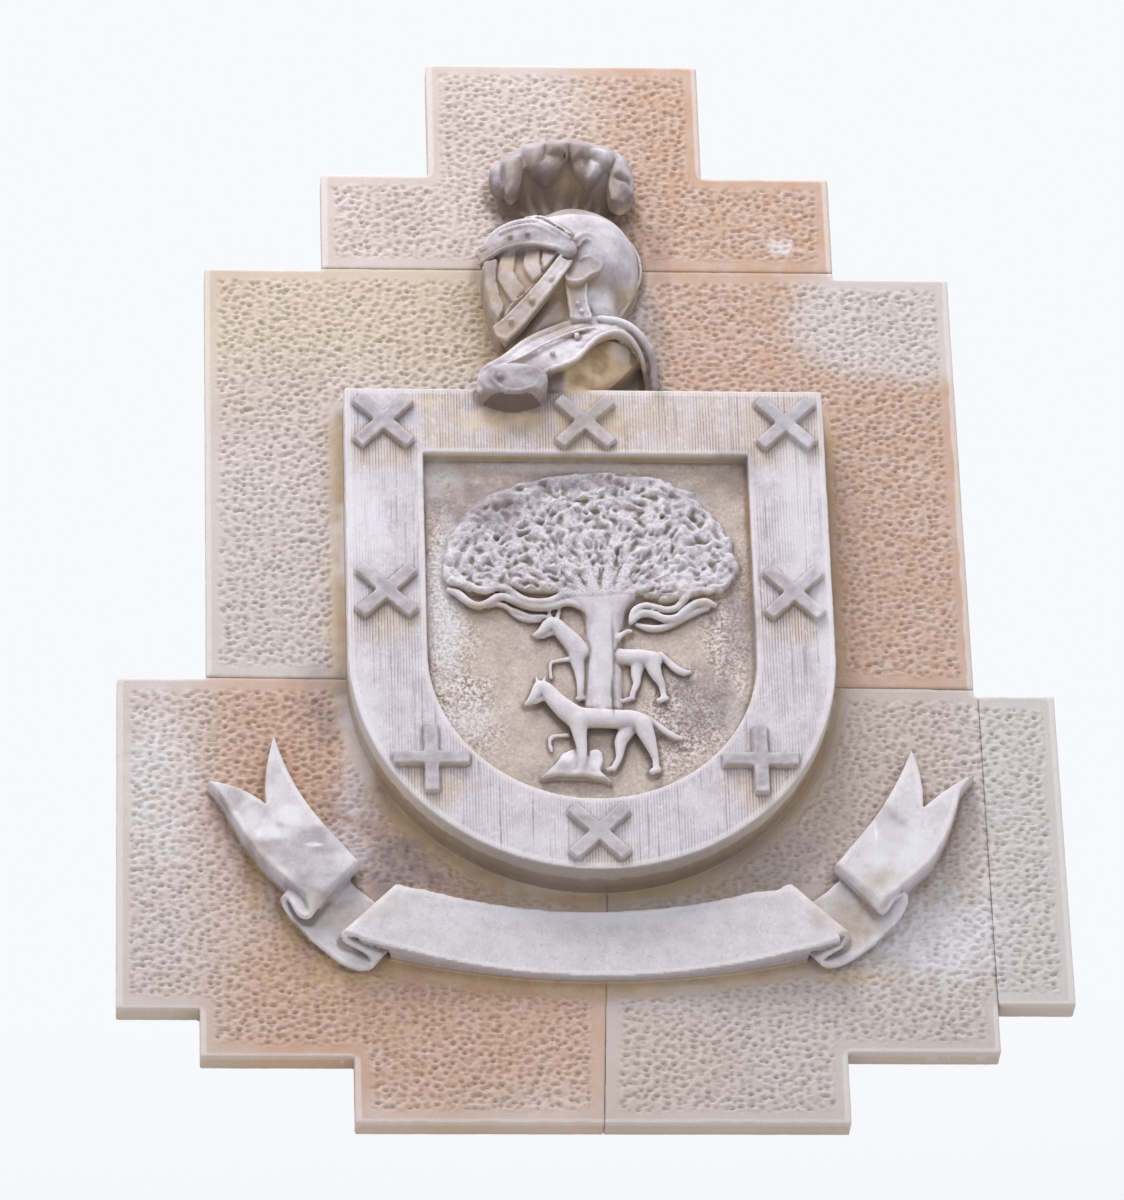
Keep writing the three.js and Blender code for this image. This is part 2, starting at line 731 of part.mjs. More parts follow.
function collar() {
  const rim = sheet(collarLower.map(onHelmet), collarUpper.map(onHelmet), {
    thickness: plateThickness * 2,
    steps: 14,
    bulge: plateThickness * 0.4,
  });
  const station = (up, across, halfWidth, out) => {
    const [x, z, proud] = onHelmet([across, up, 0]);
    return [z, x, halfWidth * helmetLength, proud, out * helmetRaise];
  };
  const neck = lofted([
    station(-0.98, -0.3, 0.2, 1.1),
    station(-0.76, -0.14, 0.34, 0.92),
    station(-0.55, 0.1, 0.36, 0.78),
    station(-0.4, 0.12, 0.27, 0.7),
  ], { around: 12 });
  const hollow = lump(onHelmet([0.2, -1.02, 0.55]), [helmetLength * 0.34, helmetHeight * 0.38, helmetRaise * 0.6]);
  const end = lump(onHelmet([-0.33, -1, 0.98]), [helmetLength * 0.22, helmetHeight * 0.13, helmetRaise * 0.26]);
  return joined([neck.subtract(hollow), end, rim]);
}

function rivets() {
  const places = [
    [-0.37, 0.2, 0.9], [-0.29, 0.215, 1.0],
    [-0.36, -0.44, 0.92], [-0.24, -0.32, 1.04], [-0.13, -0.17, 1.1],
    [0.08, -0.33, 0.93],
    [-0.42, -0.99, 1.16], [-0.27, -0.94, 1.14], [-0.13, -0.72, 0.96], [0.1, -0.52, 0.84],
  ];
  const size = [rivetRadius, rivetRadius, rivetRadius * 2];
  return joined(places.map((place) => lump(onHelmet(place), size, { detail: 0 })));
}

// The plume: feathers that rise from the top of the helmet, arch forward and droop at their tips
function plume() {
  const proud = backingProud;
  const fan = lofted([
    [plumeZ - featherRadius / 4, plumeX - featherRadius / 2, plumeHalfWidth * 0.7, proud, plumeRaise * 0.15],
    [plumeZ + plumeHeight * 0.35, plumeX, plumeHalfWidth * 0.84, proud, plumeRaise * 0.45],
    [plumeZ + plumeHeight * 0.7, plumeX, plumeHalfWidth * 0.6, proud, plumeRaise * 0.7],
    [plumeZ + plumeHeight * 0.9, plumeX, plumeHalfWidth * 0.36, proud, plumeRaise * 0.5],
  ], { around: 12 });
  const feathers = [];
  const firstTurn = -80;
  const lastTurn = 88;
  const featherFlat = 0.6;
  for (let i = 0; i < featherCount; i += 1) {
    const turn = THREE.MathUtils.degToRad(firstTurn + ((lastTurn - firstTurn) * i) / (featherCount - 1));
    const station = (share, drop, raise, radius) => [
      plumeX + share * (plumeHalfWidth - featherRadius) * Math.sin(turn),
      plumeZ + share * (plumeHeight - featherRadius) * Math.cos(turn) ** featherFlat + featherRadius * (0.4 - drop),
      proud + raise * plumeRaise,
      radius * featherRadius,
    ];
    feathers.push(limb([
      station(0.8, 0, 0.1, 0.9),
      station(1.02, -0.1, 0.5, 1),
      station(0.98, 0.3, 0.78, 1),
      station(0.86, 1, 0.9, 0.75),
      station(0.8, 1.5, 0.84, 0.4),
    ], { around: 7, hinge: new THREE.Vector3(1, 0, 0) }));
  }
  return joined([fan, ...feathers]);
}

const relief = joined([
  shield(),
  crosses(),
  crown(),
  trunk(),
  fringes(),
  wolf(backWolfX, shieldSpring + backWolfRise, backWolfPose),
  wolf(frontWolfX, shieldSpring + frontWolfRise, frontWolfPose),
  mound(),
  ribbonBand(),
  ribbonFolds(-1),
  ribbonFolds(1),
  ribbonTail(-1, [2.03, 2.38], [1.12, 3.11]),
  ribbonTail(1, [1.99, 2.57], [1.13, 2.93]),
  helmetBody(),
  helmetPlates(),
  visorBars(),
  napeRim(),
  collar(),
  rivets(),
  plume(),
]);

// The finish of each stone
const finishes = {
  crest_stone: { color: 0xd9bfa9, roughness: 0.92 },
  middle_stone: { color: 0xcfc0ae, roughness: 0.92 },
  lower_left_stone: { color: 0xd0b5a2, roughness: 0.92 },
  lower_right_stone: { color: 0xc9bda9, roughness: 0.92 },
  right_end_stone: { color: 0xd2ccc7, roughness: 0.92 },
};

// Carving in front of the backing reaches no further out of the wall than this
const reliefReach = backingProud + shieldThickness + helmetRaise + plumeRaise;

function stone(name) {
  const outline = polygon(outlines[name]);
  const block = solid(slab(outline, 0, backingProud));
  const cell = solid(slab(outline, backingProud / 2, reliefReach));
  const { vertProperties, triVerts, numProp } = block.add(relief.intersect(cell)).getMesh();
  const geometry = new THREE.BufferGeometry();
  const positions = new Float32Array((vertProperties.length / numProp) * 3);
  for (let i = 0; i < positions.length / 3; i += 1) {
    positions.set(vertProperties.subarray(i * numProp, i * numProp + 3), i * 3);
  }
  geometry.setAttribute("position", new THREE.BufferAttribute(positions, 3));
  geometry.setIndex(new THREE.BufferAttribute(new Uint32Array(triVerts), 1));
  geometry.computeVertexNormals();
  const material = new THREE.MeshStandardMaterial({ ...finishes[name], metalness: 0 });
  const mesh = new THREE.Mesh(geometry, material);
  mesh.name = name;
  return mesh;
}

const panel = new THREE.Group();
for (const name of Object.keys(outlines)) {
  panel.add(stone(name));
}

export default panel;
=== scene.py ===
# The looks of a coat of arms carved in sandstone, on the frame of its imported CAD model.
# Shapes are worked in millimetres, as x to the right, z up and p out of the wall, and each stone
# is cut from one block of values that are positive inside the stone.
import math

import bpy
import numpy as np
from mathutils import Matrix, Vector


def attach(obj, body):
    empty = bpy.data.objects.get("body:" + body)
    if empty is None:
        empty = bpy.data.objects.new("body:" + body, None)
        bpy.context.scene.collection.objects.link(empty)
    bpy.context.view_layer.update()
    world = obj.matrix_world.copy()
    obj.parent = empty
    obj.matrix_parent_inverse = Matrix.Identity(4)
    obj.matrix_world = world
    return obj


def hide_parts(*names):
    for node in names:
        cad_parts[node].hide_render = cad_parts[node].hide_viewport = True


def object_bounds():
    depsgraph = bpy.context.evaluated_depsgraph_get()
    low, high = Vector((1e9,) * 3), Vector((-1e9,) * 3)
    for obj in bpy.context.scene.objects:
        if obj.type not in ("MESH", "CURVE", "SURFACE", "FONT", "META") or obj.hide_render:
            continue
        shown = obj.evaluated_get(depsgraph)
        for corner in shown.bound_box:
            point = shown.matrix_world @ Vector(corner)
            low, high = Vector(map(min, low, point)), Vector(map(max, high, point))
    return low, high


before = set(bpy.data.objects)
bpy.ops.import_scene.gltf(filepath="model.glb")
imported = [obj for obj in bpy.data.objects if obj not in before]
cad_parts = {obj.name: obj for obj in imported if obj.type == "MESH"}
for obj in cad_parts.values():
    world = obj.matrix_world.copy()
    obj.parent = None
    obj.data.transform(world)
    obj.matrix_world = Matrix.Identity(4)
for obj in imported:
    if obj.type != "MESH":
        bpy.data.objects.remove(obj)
cad_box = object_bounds()

# The backing and the shield
GROUND = 32.0
SHIELD = 98.0
FIELD = 78.0
HALF_SHIELD = 311.0
SHIELD_TOP = 237.0
SPRING = -156.0
BORDER = 101.0
TOP_BORDER = 98.0
UPPER_JOINT = 461.5
HALF_GAP = 0.15
CROSS_TOP = 107.5
REACH = 141.0  # just beyond the point that stands furthest out

STEP_X = 2.25
STEP_Z = 2.35
DEPTHS = np.concatenate([[0.0, 8.0, 16.0, 22.0, 26.0, 28.6, 30.6], np.arange(32.6, REACH, 2.4)])


def long_joint(x):
    return -157.5 - 12.0 * (x + 489.0) / 983.0


def centre_joint(z):
    return 26.0 * (z + 787.5) / 630.0


CORNER_Z = long_joint(25.4)
OUTLINES = {
    "crest_stone": [(-334, UPPER_JOINT), (342, UPPER_JOINT), (342, 609.5), (173, 609.5), (173, 787.5),
                    (-191, 787.5), (-191, 609.5), (-334, 609.5)],
    "middle_stone": [(-489, long_joint(-489)), (494, long_joint(494)), (494, 452.5), (342, 452.5),
                     (342, UPPER_JOINT), (-334, UPPER_JOINT), (-334, 459.5), (-489, 459.5)],
    "lower_left_stone": [(-308, -787.5), (0, -787.5), (centre_joint(CORNER_Z), CORNER_Z),
                         (-489, long_joint(-489)), (-489, -159.5), (-603, -159.5),
                         (-603, -630.5), (-499, -630.5), (-499, -697.5), (-308, -697.5)],
    "lower_right_stone": [(0, -787.5), (307, -787.5), (307, -689.5), (499, -689.5), (499, -178.5),
                          (494, -178.5), (494, long_joint(494)), (centre_joint(CORNER_Z), CORNER_Z)],
    "right_end_stone": [(499.3, -622.5), (597, -622.5), (597, -178.5), (499.3, -178.5)],
}


# Noise, always the same for the same seed

def lattice(ix, iz, seed):
    h = (ix.astype(np.int64) * 374761393 + iz.astype(np.int64) * 668265263 + seed * 1442695041)
    h = (h ^ (h >> 13)) * 1274126177
    h = h ^ (h >> 16)
    return (h & 0xFFFFFF).astype(np.float32) / 0xFFFFFF


def noise(x, z, size, seed):
    """Smooth noise from -1 to 1 with features of about the given size."""
    x, z = np.broadcast_arrays(x / size, z / size)
    ix, iz = np.floor(x), np.floor(z)
    fx, fz = x - ix, z - iz
    ux = fx * fx * (3 - 2 * fx)
    uz = fz * fz * (3 - 2 * fz)
    a = lattice(ix, iz, seed)
    b = lattice(ix + 1, iz, seed)
    c = lattice(ix, iz + 1, seed)
    d = lattice(ix + 1, iz + 1, seed)
    return 2 * ((a + (b - a) * ux) * (1 - uz) + (c + (d - c) * ux) * uz) - 1


def cloud(x, z, size, seed, octaves=3):
    total, weight = 0.0, 0.0
    for i in range(octaves):
        total = total + noise(x, z, size / 2 ** i, seed + 17 * i) / 2 ** i
        weight += 1 / 2 ** i
    return total / weight


def pits(x, z, across, up, seed, jitter=0.8):
    """Distance to the nearest of scattered points, as a share of their spacing, and its own number."""
    x, z = np.broadcast_arrays(x / across, z / up)
    ix, iz = np.floor(x), np.floor(z)
    best = np.full(x.shape, 9.0, np.float32)
    own = np.zeros(x.shape, np.float32)
    for dx in (-1, 0, 1):
        for dz in (-1, 0, 1):
            cx, cz = ix + dx, iz + dz
            px = cx + 0.5 + jitter * (lattice(cx, cz, seed) - 0.5)
            pz = cz + 0.5 + jitter * (lattice(cx, cz, seed + 5) - 0.5)
            d = np.hypot(x - px, z - pz)
            own = np.where(d < best, lattice(cx, cz, seed + 9), own)
            best = np.minimum(best, d)
    return best, own


def ramp(value, low, high):
    t = np.clip((value - low) / (high - low), 0, 1)
    return t * t * (3 - 2 * t)


def layer(p, low, full, still, gone):
    """1 from full to still, and 0 below low and above gone."""
    return ramp(p, low, full) * (1 - ramp(p, still, gone))


def smooth_max(a, b, k):
    h = np.clip(0.5 + 0.5 * (a - b) / k, 0, 1)
    return a * h + b * (1 - h) + k * h * (1 - h)


def smooth_min(a, b, k):
    return -smooth_max(-a, -b, k)


# Flat shapes: each gives a distance that is positive inside

def curve(points, steps=6, closed=False):
    """A smooth line through the points, of any number of coordinates."""
    pts = np.array(points, float)
    count = len(pts)
    out = []
    for i in range(count if closed else count - 1):
        if closed:
            a, b, c, d = (pts[(i + k) % count] for k in (-1, 0, 1, 2))
        else:
            a, b, c, d = (pts[min(max(i + k, 0), count - 1)] for k in (-1, 0, 1, 2))
        for t in np.arange(steps) / steps:
            out.append(0.5 * (2 * b + (c - a) * t + (2 * a - 5 * b + 4 * c - d) * t * t
                              + (3 * b - a - 3 * c + d) * t ** 3))
    if not closed:
        out.append(pts[-1])
    return np.array(out)


def polygon(points):
    pts = np.array(points, float)[:, :2]
    after = np.roll(pts, -1, axis=0)

    def distance(x, z):
        x, z = np.broadcast_arrays(x, z)
        near = np.full(x.shape, 1e9)
        inside = np.zeros(x.shape, bool)
        for (ax, az), (bx, bz) in zip(pts, after):
            ex, ez = bx - ax, bz - az
            t = np.clip(((x - ax) * ex + (z - az) * ez) / (ex * ex + ez * ez + 1e-9), 0, 1)
            near = np.minimum(near, (x - ax - t * ex) ** 2 + (z - az - t * ez) ** 2)
            crosses = (az > z) != (bz > z)
            if az != bz:
                inside ^= crosses & (x < ax + (z - az) / (bz - az) * ex)
        return np.where(inside, 1, -1) * np.sqrt(near)
    return distance


def shield_distance(x, z, inset=0.0, top_inset=0.0):
    straight = np.minimum(HALF_SHIELD - inset - np.abs(x), SHIELD_TOP - top_inset - z)
    round_foot = HALF_SHIELD - inset - np.hypot(x, z - SPRING)
    return np.where(z > SPRING, straight, round_foot)


def field_distance(x, z):
    return shield_distance(x, z, BORDER, TOP_BORDER)


def surface(points):
    """The distance out of the wall at a place, between the given [x, z, p]."""
    pts = np.array(points, float)

    def height(x, z):
        x, z = np.broadcast_arrays(x, z)
        total = np.zeros(x.shape)
        weight = np.zeros(x.shape)
        for px, pz, pp in pts:
            w = 1 / ((x - px) ** 2 + (z - pz) ** 2 + 40) ** 2
            total += w * pp
            weight += w
        return total / weight
    return height


# Bodies: a box to look in and a value that is positive inside

def box_round(points, margin, low=0, high=REACH):
    lows, highs = points.min(0) - margin, points.max(0) + margin
    return lows[0], highs[0], lows[1], highs[1], low, high


def tube(stations, depth=1.0, steps=5):
    """A rounded limb through [x, z, p, radius], with its section as deep as depth times its width."""
    pts = curve(stations, steps) if len(stations) > 2 else np.array(stations, float)
    reach = pts[:, 3].max() + 3
    box = box_round(pts, reach, pts[:, 2].min() - reach, pts[:, 2].max() + reach)

    def value(x, z, p):
        out = None
        for (ax, az, ap, ar), (bx, bz, bp, br) in zip(pts[:-1], pts[1:]):
            ex, ez, ep = bx - ax, bz - az, (bp - ap) / depth
            qx, qz, qp = x - ax, z - az, (p - ap) / depth
            t = np.clip((qx * ex + qz * ez + qp * ep) / (ex * ex + ez * ez + ep * ep + 1e-9), 0, 1)
            d = np.sqrt((qx - t * ex) ** 2 + (qz - t * ez) ** 2 + (qp - t * ep) ** 2)
            s = ar + (br - ar) * t - d
            out = s if out is None else np.maximum(out, s)
        return out
    return box, value


def ball(centre, sizes):
    cx, cz, cp = centre
    sx, sz, sp = sizes
    box = (cx - sx - 3, cx + sx + 3, cz - sz - 3, cz + sz + 3, cp - sp - 3, cp + sp + 3)

    def value(x, z, p):
        q = np.sqrt(((x - cx) / sx) ** 2 + ((z - cz) / sz) ** 2 + ((p - cp) / sp) ** 2)
        return (1 - q) * min(sizes)
    return box, value


def block(outline, top, bottom=None, edge=1.5):
    """A flat shape between two distances out of the wall, each a number or a function of x and z."""
    pts = np.array(outline, float)[:, :2]
    inside = polygon(pts)
    box = box_round(pts, 3)

    def value(x, z, p):
        flat = inside(x, z)
        high = top(x, z) if callable(top) else top
        s = smooth_min(flat, high - p, edge)
        if bottom is not None:
            low = bottom(x, z) if callable(bottom) else bottom
            s = smooth_min(s, p - low, edge)
        return s
    return box, value


def dome(outline, base, rise, run, edge=0.5, bottom=None):
    """A shape that swells from its outline, at base, by rise over the distance run."""
    pts = np.array(outline, float)[:, :2]
    inside = polygon(pts)
    box = box_round(pts, 3)

    def value(x, z, p):
        flat = inside(x, z)
        share = np.clip(flat / run, 0, 1)
        high = base + rise * np.sqrt(1 - (1 - share) ** 2)
        slope = np.clip(0.35 + share, 0, 1)
        s = smooth_min(flat + edge, (high - p) * slope, 2.0)
        return s if bottom is None else smooth_min(s, p - bottom, 2.0)
    return box, value


def plate(lower, upper, thickness, edge=1.5, steps=6, bulge=0.0):
    """A bent plate between a lower and an upper edge of [x, z, p]."""
    low = curve(lower, steps)
    high = curve(upper, steps)
    if len(low) != len(high):
        longer = max(len(low), len(high))
        even = np.linspace(0, 1, longer)
        low, high = (np.array([np.interp(even, np.linspace(0, 1, len(line)), line[:, i]) for i in range(3)]).T
                     for line in (low, high))
    samples = []
    for share in (0, 0.25, 0.5, 0.75, 1):
        row = low + (high - low) * share
        row[:, 2] += bulge * (1 - (2 * share - 1) ** 2)
        samples.extend(row[::2])
    top = surface(samples)
    return block(np.concatenate([low, high[::-1]]), top, lambda x, z: top(x, z) - thickness, edge)


# The list of what is added to or cut from the stone, in order
work = []


def add(body, k=1.0):
    work.append(("add", body[0], body[1], k))


def cut(body, k=1.0):
    work.append(("cut", body[0], body[1], k))


def within(box, value):
    return box, value


def rolled_edge(line, radius, k, dx=0, dz=0, dp=0):
    """A round bead beside a line of [x, z, p]."""
    add(tube([[x + dx, z + dz, p + dp, radius] for x, z, p in line]), k)


def rivets(size, *places):
    for place in places:
        add(ball(place, size), 0.3)


# The shield
def shield_block(x, z, p):
    edge = 0.5 * noise(x, z, 9, 3)
    flat = shield_distance(x, z) - 0.5 + 0.5 * edge
    border = smooth_min(np.minimum(flat, -field_distance(x, z)), SHIELD - p, 2.0)
    floor = smooth_min(flat, FIELD - p, 1.0)
    return smooth_max(border, floor, 1.5)


add(within((-314, 314, -470, 240, 0, 101), shield_block))


def cross(cx, cz, turned):
    angle = math.radians(45 if turned else 0)
    c, s = math.cos(angle), math.sin(angle)

    def value(x, z, p):
        u = (x - cx) * c + (z - cz) * s
        v = -(x - cx) * s + (z - cz) * c
        bars = np.maximum(np.minimum(48 - np.abs(u), 9 - np.abs(v)), np.minimum(48 - np.abs(v), 9 - np.abs(u)))
        bars = bars + 0.5 * noise(x, z, 7, 11)
        return smooth_min(bars, CROSS_TOP - p, 2.0)
    return (cx - 50, cx + 50, cz - 50, cz + 50, 90, 111), value


UPRIGHT = math.radians(37)
CROSSES = [(-260.5, 184.5, True), (0, 184.5, True), (260.5, 184.5, True), (-260.5, -69, True),
           (260.5, -69, True), (0, -416.5, True),
           (-260.5 * math.cos(UPRIGHT), SPRING - 260.5 * math.sin(UPRIGHT), False),
           (260.5 * math.cos(UPRIGHT), SPRING - 260.5 * math.sin(UPRIGHT), False)]
for place in CROSSES:
    add(cross(*place))

# The crown of the tree
FORK_X, FORK_Z = 18.0, -84.0
CROWN = polygon(curve([(-188, -50), (-191, -14), (-177, 38), (-137, 80), (-72, 109), (6, 124), (83, 116), (134, 95),
                       (172, 50), (192, 0), (186, -50), (150, -66), (95, -78), (50, -66), (0, -70), (-60, -66),
                       (-120, -62), (-165, -62)], 8, closed=True))


def crown_height(x, z):
    """How far the leaves stand out of the wall, without their edge."""
    r = np.hypot(x - FORK_X, z - FORK_Z) + 1
    u = 120 * np.arctan2(z - FORK_Z, x - FORK_X) + 7 * noise(x, z, 30, 21) + 3 * noise(x, z, 10, 23)
    v = r + 8 * noise(x, z, 30, 22) + 3 * noise(x, z, 11, 24)
    near, own = pits(u, v, 14, 18, 31, 0.9)
    clump = (1 - ramp(near, 0.15, 0.72)) * (0.45 + 0.75 * own)
    hole = (own < 0.16) * (1 - ramp(near, 0.12, 0.4))
    near2, own2 = pits(u + 5, v, 7.5, 9.5, 35, 0.95)
    small = (1 - ramp(near2, 0.15, 0.6)) * own2
    ridges = 1 - 2.6 * np.abs(noise(u, v * 0.7, 8, 44))
    crumbs = noise(x, z, 5.2, 45)
    calm = ramp(r, 18, 62)
    leaves = 2.6 * clump + 2.2 * small - 5.0 * hole + 2.4 * ridges + 1.7 * crumbs
    return 90 + calm * leaves + 1.6 * noise(x, z, 30, 46)


def crown(x, z, p):
    flat = CROWN(x, z) + 3.5 * noise(x, z, 14, 47) + 1.5 * noise(x, z, 6, 48)
    edge = np.clip(flat / np.where(z > 20, 17, 9), 0, 1)
    high = FIELD - 1 + (crown_height(x, z) - FIELD + 1) * (1 - (1 - edge) ** 2)
    return smooth_min(flat, (high - p) * 0.75, 1.5)


add(within((-202, 204, -96, 136, 70, 102), crown))

# The trunk, its boughs and its stub
TRUNK = np.array([(-236, 11, 22.5, 15), (-217, 11.5, 22.5, 15.5), (-190, 12.7, 21.5, 15.5), (-161, 14.2, 20.5, 16),
                  (-132, 16, 21.5, 16), (-105, 18, 24.5, 16.5), (-91, 19.5, 28, 17), (-76, 22, 36, 16),
                  (-60, 25, 48, 14), (-40, 26, 58, 6)], float)
RIDGE = np.array([(-240, 24.4), (-197, 24.6), (-171, 25.2), (-149, 28), (-130, 35.5), (-100, 60)], float)


def trunk(x, z, p):
    middle, half, rise = (np.interp(z, TRUNK[:, 0], TRUNK[:, i]) for i in (1, 2, 3))
    u = (x - middle) / half
    grain = 1 + 0.05 * noise(x * 3, z * 0.6, 9, 51)
    beyond = ramp(x - np.interp(z, RIDGE[:, 0], RIDGE[:, 1]), -0.6, 1.2)
    q = np.sqrt(u * u * (1 - 0.4 * beyond) + (np.maximum(p + 4.5 * beyond - FIELD, 0) / (rise * grain)) ** 2)
    return (1 - q) * 15


# The wolves, as limbs through [x, z, p, radius]
BACK_WOLF = [
    ([[-72.5, -123.8, 84, 3.3], [-64.2, -119, 85, 5.4], [-52.8, -108.4, 86, 8.7], [-44.6, -109.2, 86, 9.5],
      [-35.9, -120.3, 85, 11.1], [-24.2, -133.4, 84, 12.8], [-15.3, -146.9, 82, 13.9]], 2),
    ([[-69.4, -126.8, 82, 2.1], [-59.7, -124.9, 83, 2.8], [-49.9, -119.8, 84, 4.1]], 0.8),
    ([[-51.9, -99.3, 84, 3.9], [-52.6, -89.0, 84, 2.3], [-53.2, -81.9, 84, 0.8]], 1),
    ([[-42.6, -98.6, 83, 3.9], [-40.2, -87.7, 83, 2.3], [-38.4, -80.6, 82, 0.8]], 1),
    ([[-16.8, -143.9, 83, 12.8], [-18.4, -161.5, 83, 9.3], [-16.3, -179, 83, 6.7], [-15.6, -196.5, 83, 5.1],
      [-16, -210.5, 83, 4.4]], 1.6),
    ([[-12.3, -214.5, 83, 3.6], [-19.5, -215.7, 83, 3.6]], 1.2),
    ([[-9.9, -156.8, 80, 5.1], [-9.2, -186.0, 80, 3.6], [-11.0, -211.7, 80, 3.3]], 1),
    ([[-24.8, -156.9, 82, 3.9], [-40.7, -159.1, 82, 3.1], [-50.9, -161.8, 82, 2.8], [-53.4, -167.6, 82, 2.8],
      [-53.6, -174.3, 82, 2.6], [-52.6, -185.1, 82, 3.1]], 1.2),
    ([[36, -153.2, 82, 11.3], [51.2, -155.1, 84, 11.3], [66.3, -156.8, 85, 11.8], [78.5, -160.5, 85, 11.3]], 2),
    ([[75.4, -159, 86, 11.8], [80.3, -179.5, 86, 8.2], [87, -194, 85, 5.4], [89.2, -205.7, 84, 4.1],
      [89.4, -213.2, 84, 3.9]], 1.6),
    ([[93.7, -214.4, 84, 3.6], [83.3, -218.2, 85, 4.1]], 1.2),
    ([[58.6, -164.5, 83, 9.8], [56, -180, 83, 6.9], [55.8, -193.1, 83, 5.1], [51.1, -204.8, 83, 4.1],
      [49.3, -213, 83, 3.9]], 1.6),
    ([[50.5, -214.1, 83, 3.6], [38.4, -217.7, 83, 3.3]], 1.2),
    ([[87.1, -150.2, 84, 4.4], [96.5, -160.1, 83, 5.1], [106.8, -170.9, 83, 5.7], [116.8, -176.3, 83, 5.1],
      [125.2, -174.5, 82, 2.6]], 1.2),
]
FRONT_WOLF = [
    ([[-86.1, -226, 88, 2.8], [-80.5, -222.1, 89, 4.6], [-73.2, -212.5, 90, 7.2], [-67.1, -203.1, 90, 9.3],
      [-59.1, -208, 90, 10.3], [-48.1, -222.5, 90, 11.8], [-34.5, -236.9, 90, 13.9], [-20.9, -247.5, 90, 14.9]], 2),
    ([[-81.5, -225.4, 87, 2.3], [-70.8, -221.5, 88, 3.6], [-61.7, -214.7, 89, 5.1]], 0.8),
    ([[-71.0, -193.3, 88, 3.3], [-72.3, -184.6, 88, 0.8]], 1),
    ([[-62.8, -192.7, 87, 3.3], [-59.7, -182.2, 87, 0.8]], 1),
    ([[-22.2, -247.5, 90, 14.9], [1.9, -247.4, 90, 13.4], [27.3, -248.6, 90, 12.8], [47.6, -249.4, 90, 12.8],
      [62.2, -253.9, 89, 11.8]], 2),
    ([[-20.6, -250.9, 92, 13.4], [-19.6, -269.2, 91, 9.5], [-17.1, -290.2, 90, 6.9], [-17.1, -307.5, 90, 5.4],
      [-19, -320.5, 90, 4.6]], 1.6),
    ([[-17.6, -324.8, 90, 4.1], [-26.3, -327.4, 90, 4.1]], 1.2),
    ([[60.5, -256.2, 91, 12.8], [66.9, -275.8, 91, 9.8], [72, -291.1, 90, 6.7], [75.6, -305, 89, 4.6],
      [75.8, -315.6, 89, 4.4]], 1.6),
    ([[78.6, -320.2, 89, 4.4], [70.9, -323.7, 90, 4.4]], 1.2),
    ([[43.7, -258.8, 86, 10.8], [33.8, -276.2, 86, 8.7], [31.3, -290.6, 86, 6.2], [29.9, -302.2, 86, 4.4],
      [25, -312.3, 86, 4.1]], 1.6),
    ([[22.8, -317.2, 86, 3.9], [15.7, -318.9, 86, 3.3]], 1.2),
    ([[70.6, -247.5, 88, 4.1], [80.5, -256.2, 87, 4.4], [93, -266, 86, 4.6], [105.5, -272.3, 85, 3.9],
      [113.7, -271.7, 84, 1.8]], 1.2),
    ([[-32.4, -268, 83, 3.3], [-45.2, -269.2, 83, 2.8], [-54.6, -271, 83, 2.8], [-56.8, -276.8, 83, 2.6],
      [-56.7, -283.2, 83, 2.6], [-55.4, -291.5, 83, 2.3]], 1.2),
]
for stations, k in BACK_WOLF:
    add(tube(stations, 0.72), k)

add(within((-60, 95, -236, -38, 60, 100), trunk))
for tip in [(-78, -44, 1), (-52, -8, 1.1), (-16, 16, 1.3), (30, 22, 1.3), (66, 4, 1.1), (92, -38, 1)]:
    side = tip[0] - FORK_X
    add(tube([[FORK_X + side * 0.08, -104, 86, 9], [FORK_X + side * 0.3, -74, 88, 9 * tip[2] * 0.85],
              [FORK_X + side * 0.62, -74 + (tip[1] + 74) * 0.55, 88, 5.5], [tip[0], tip[1], 86, 3.0]], 0.8), 3.5)
add(tube([[33.9, -128.8, 88, 4.6], [39.1, -124.1, 89, 3.3], [45.5, -120.5, 90, 3.1], [50.9, -119.9, 90, 2.3]], 0.9),
    1.5)
for stations, k in FRONT_WOLF:
    add(tube(stations, 0.8), k)
cut(tube([[24.4, -229, 104, 0.9], [24.2, -262, 102, 0.9]], 4.0), 0.5)
cut(tube([[-9.5, -252, 100, 0.8], [-4, -268, 99, 0.8], [-6, -284, 96, 0.8]], 2.0), 0.5)

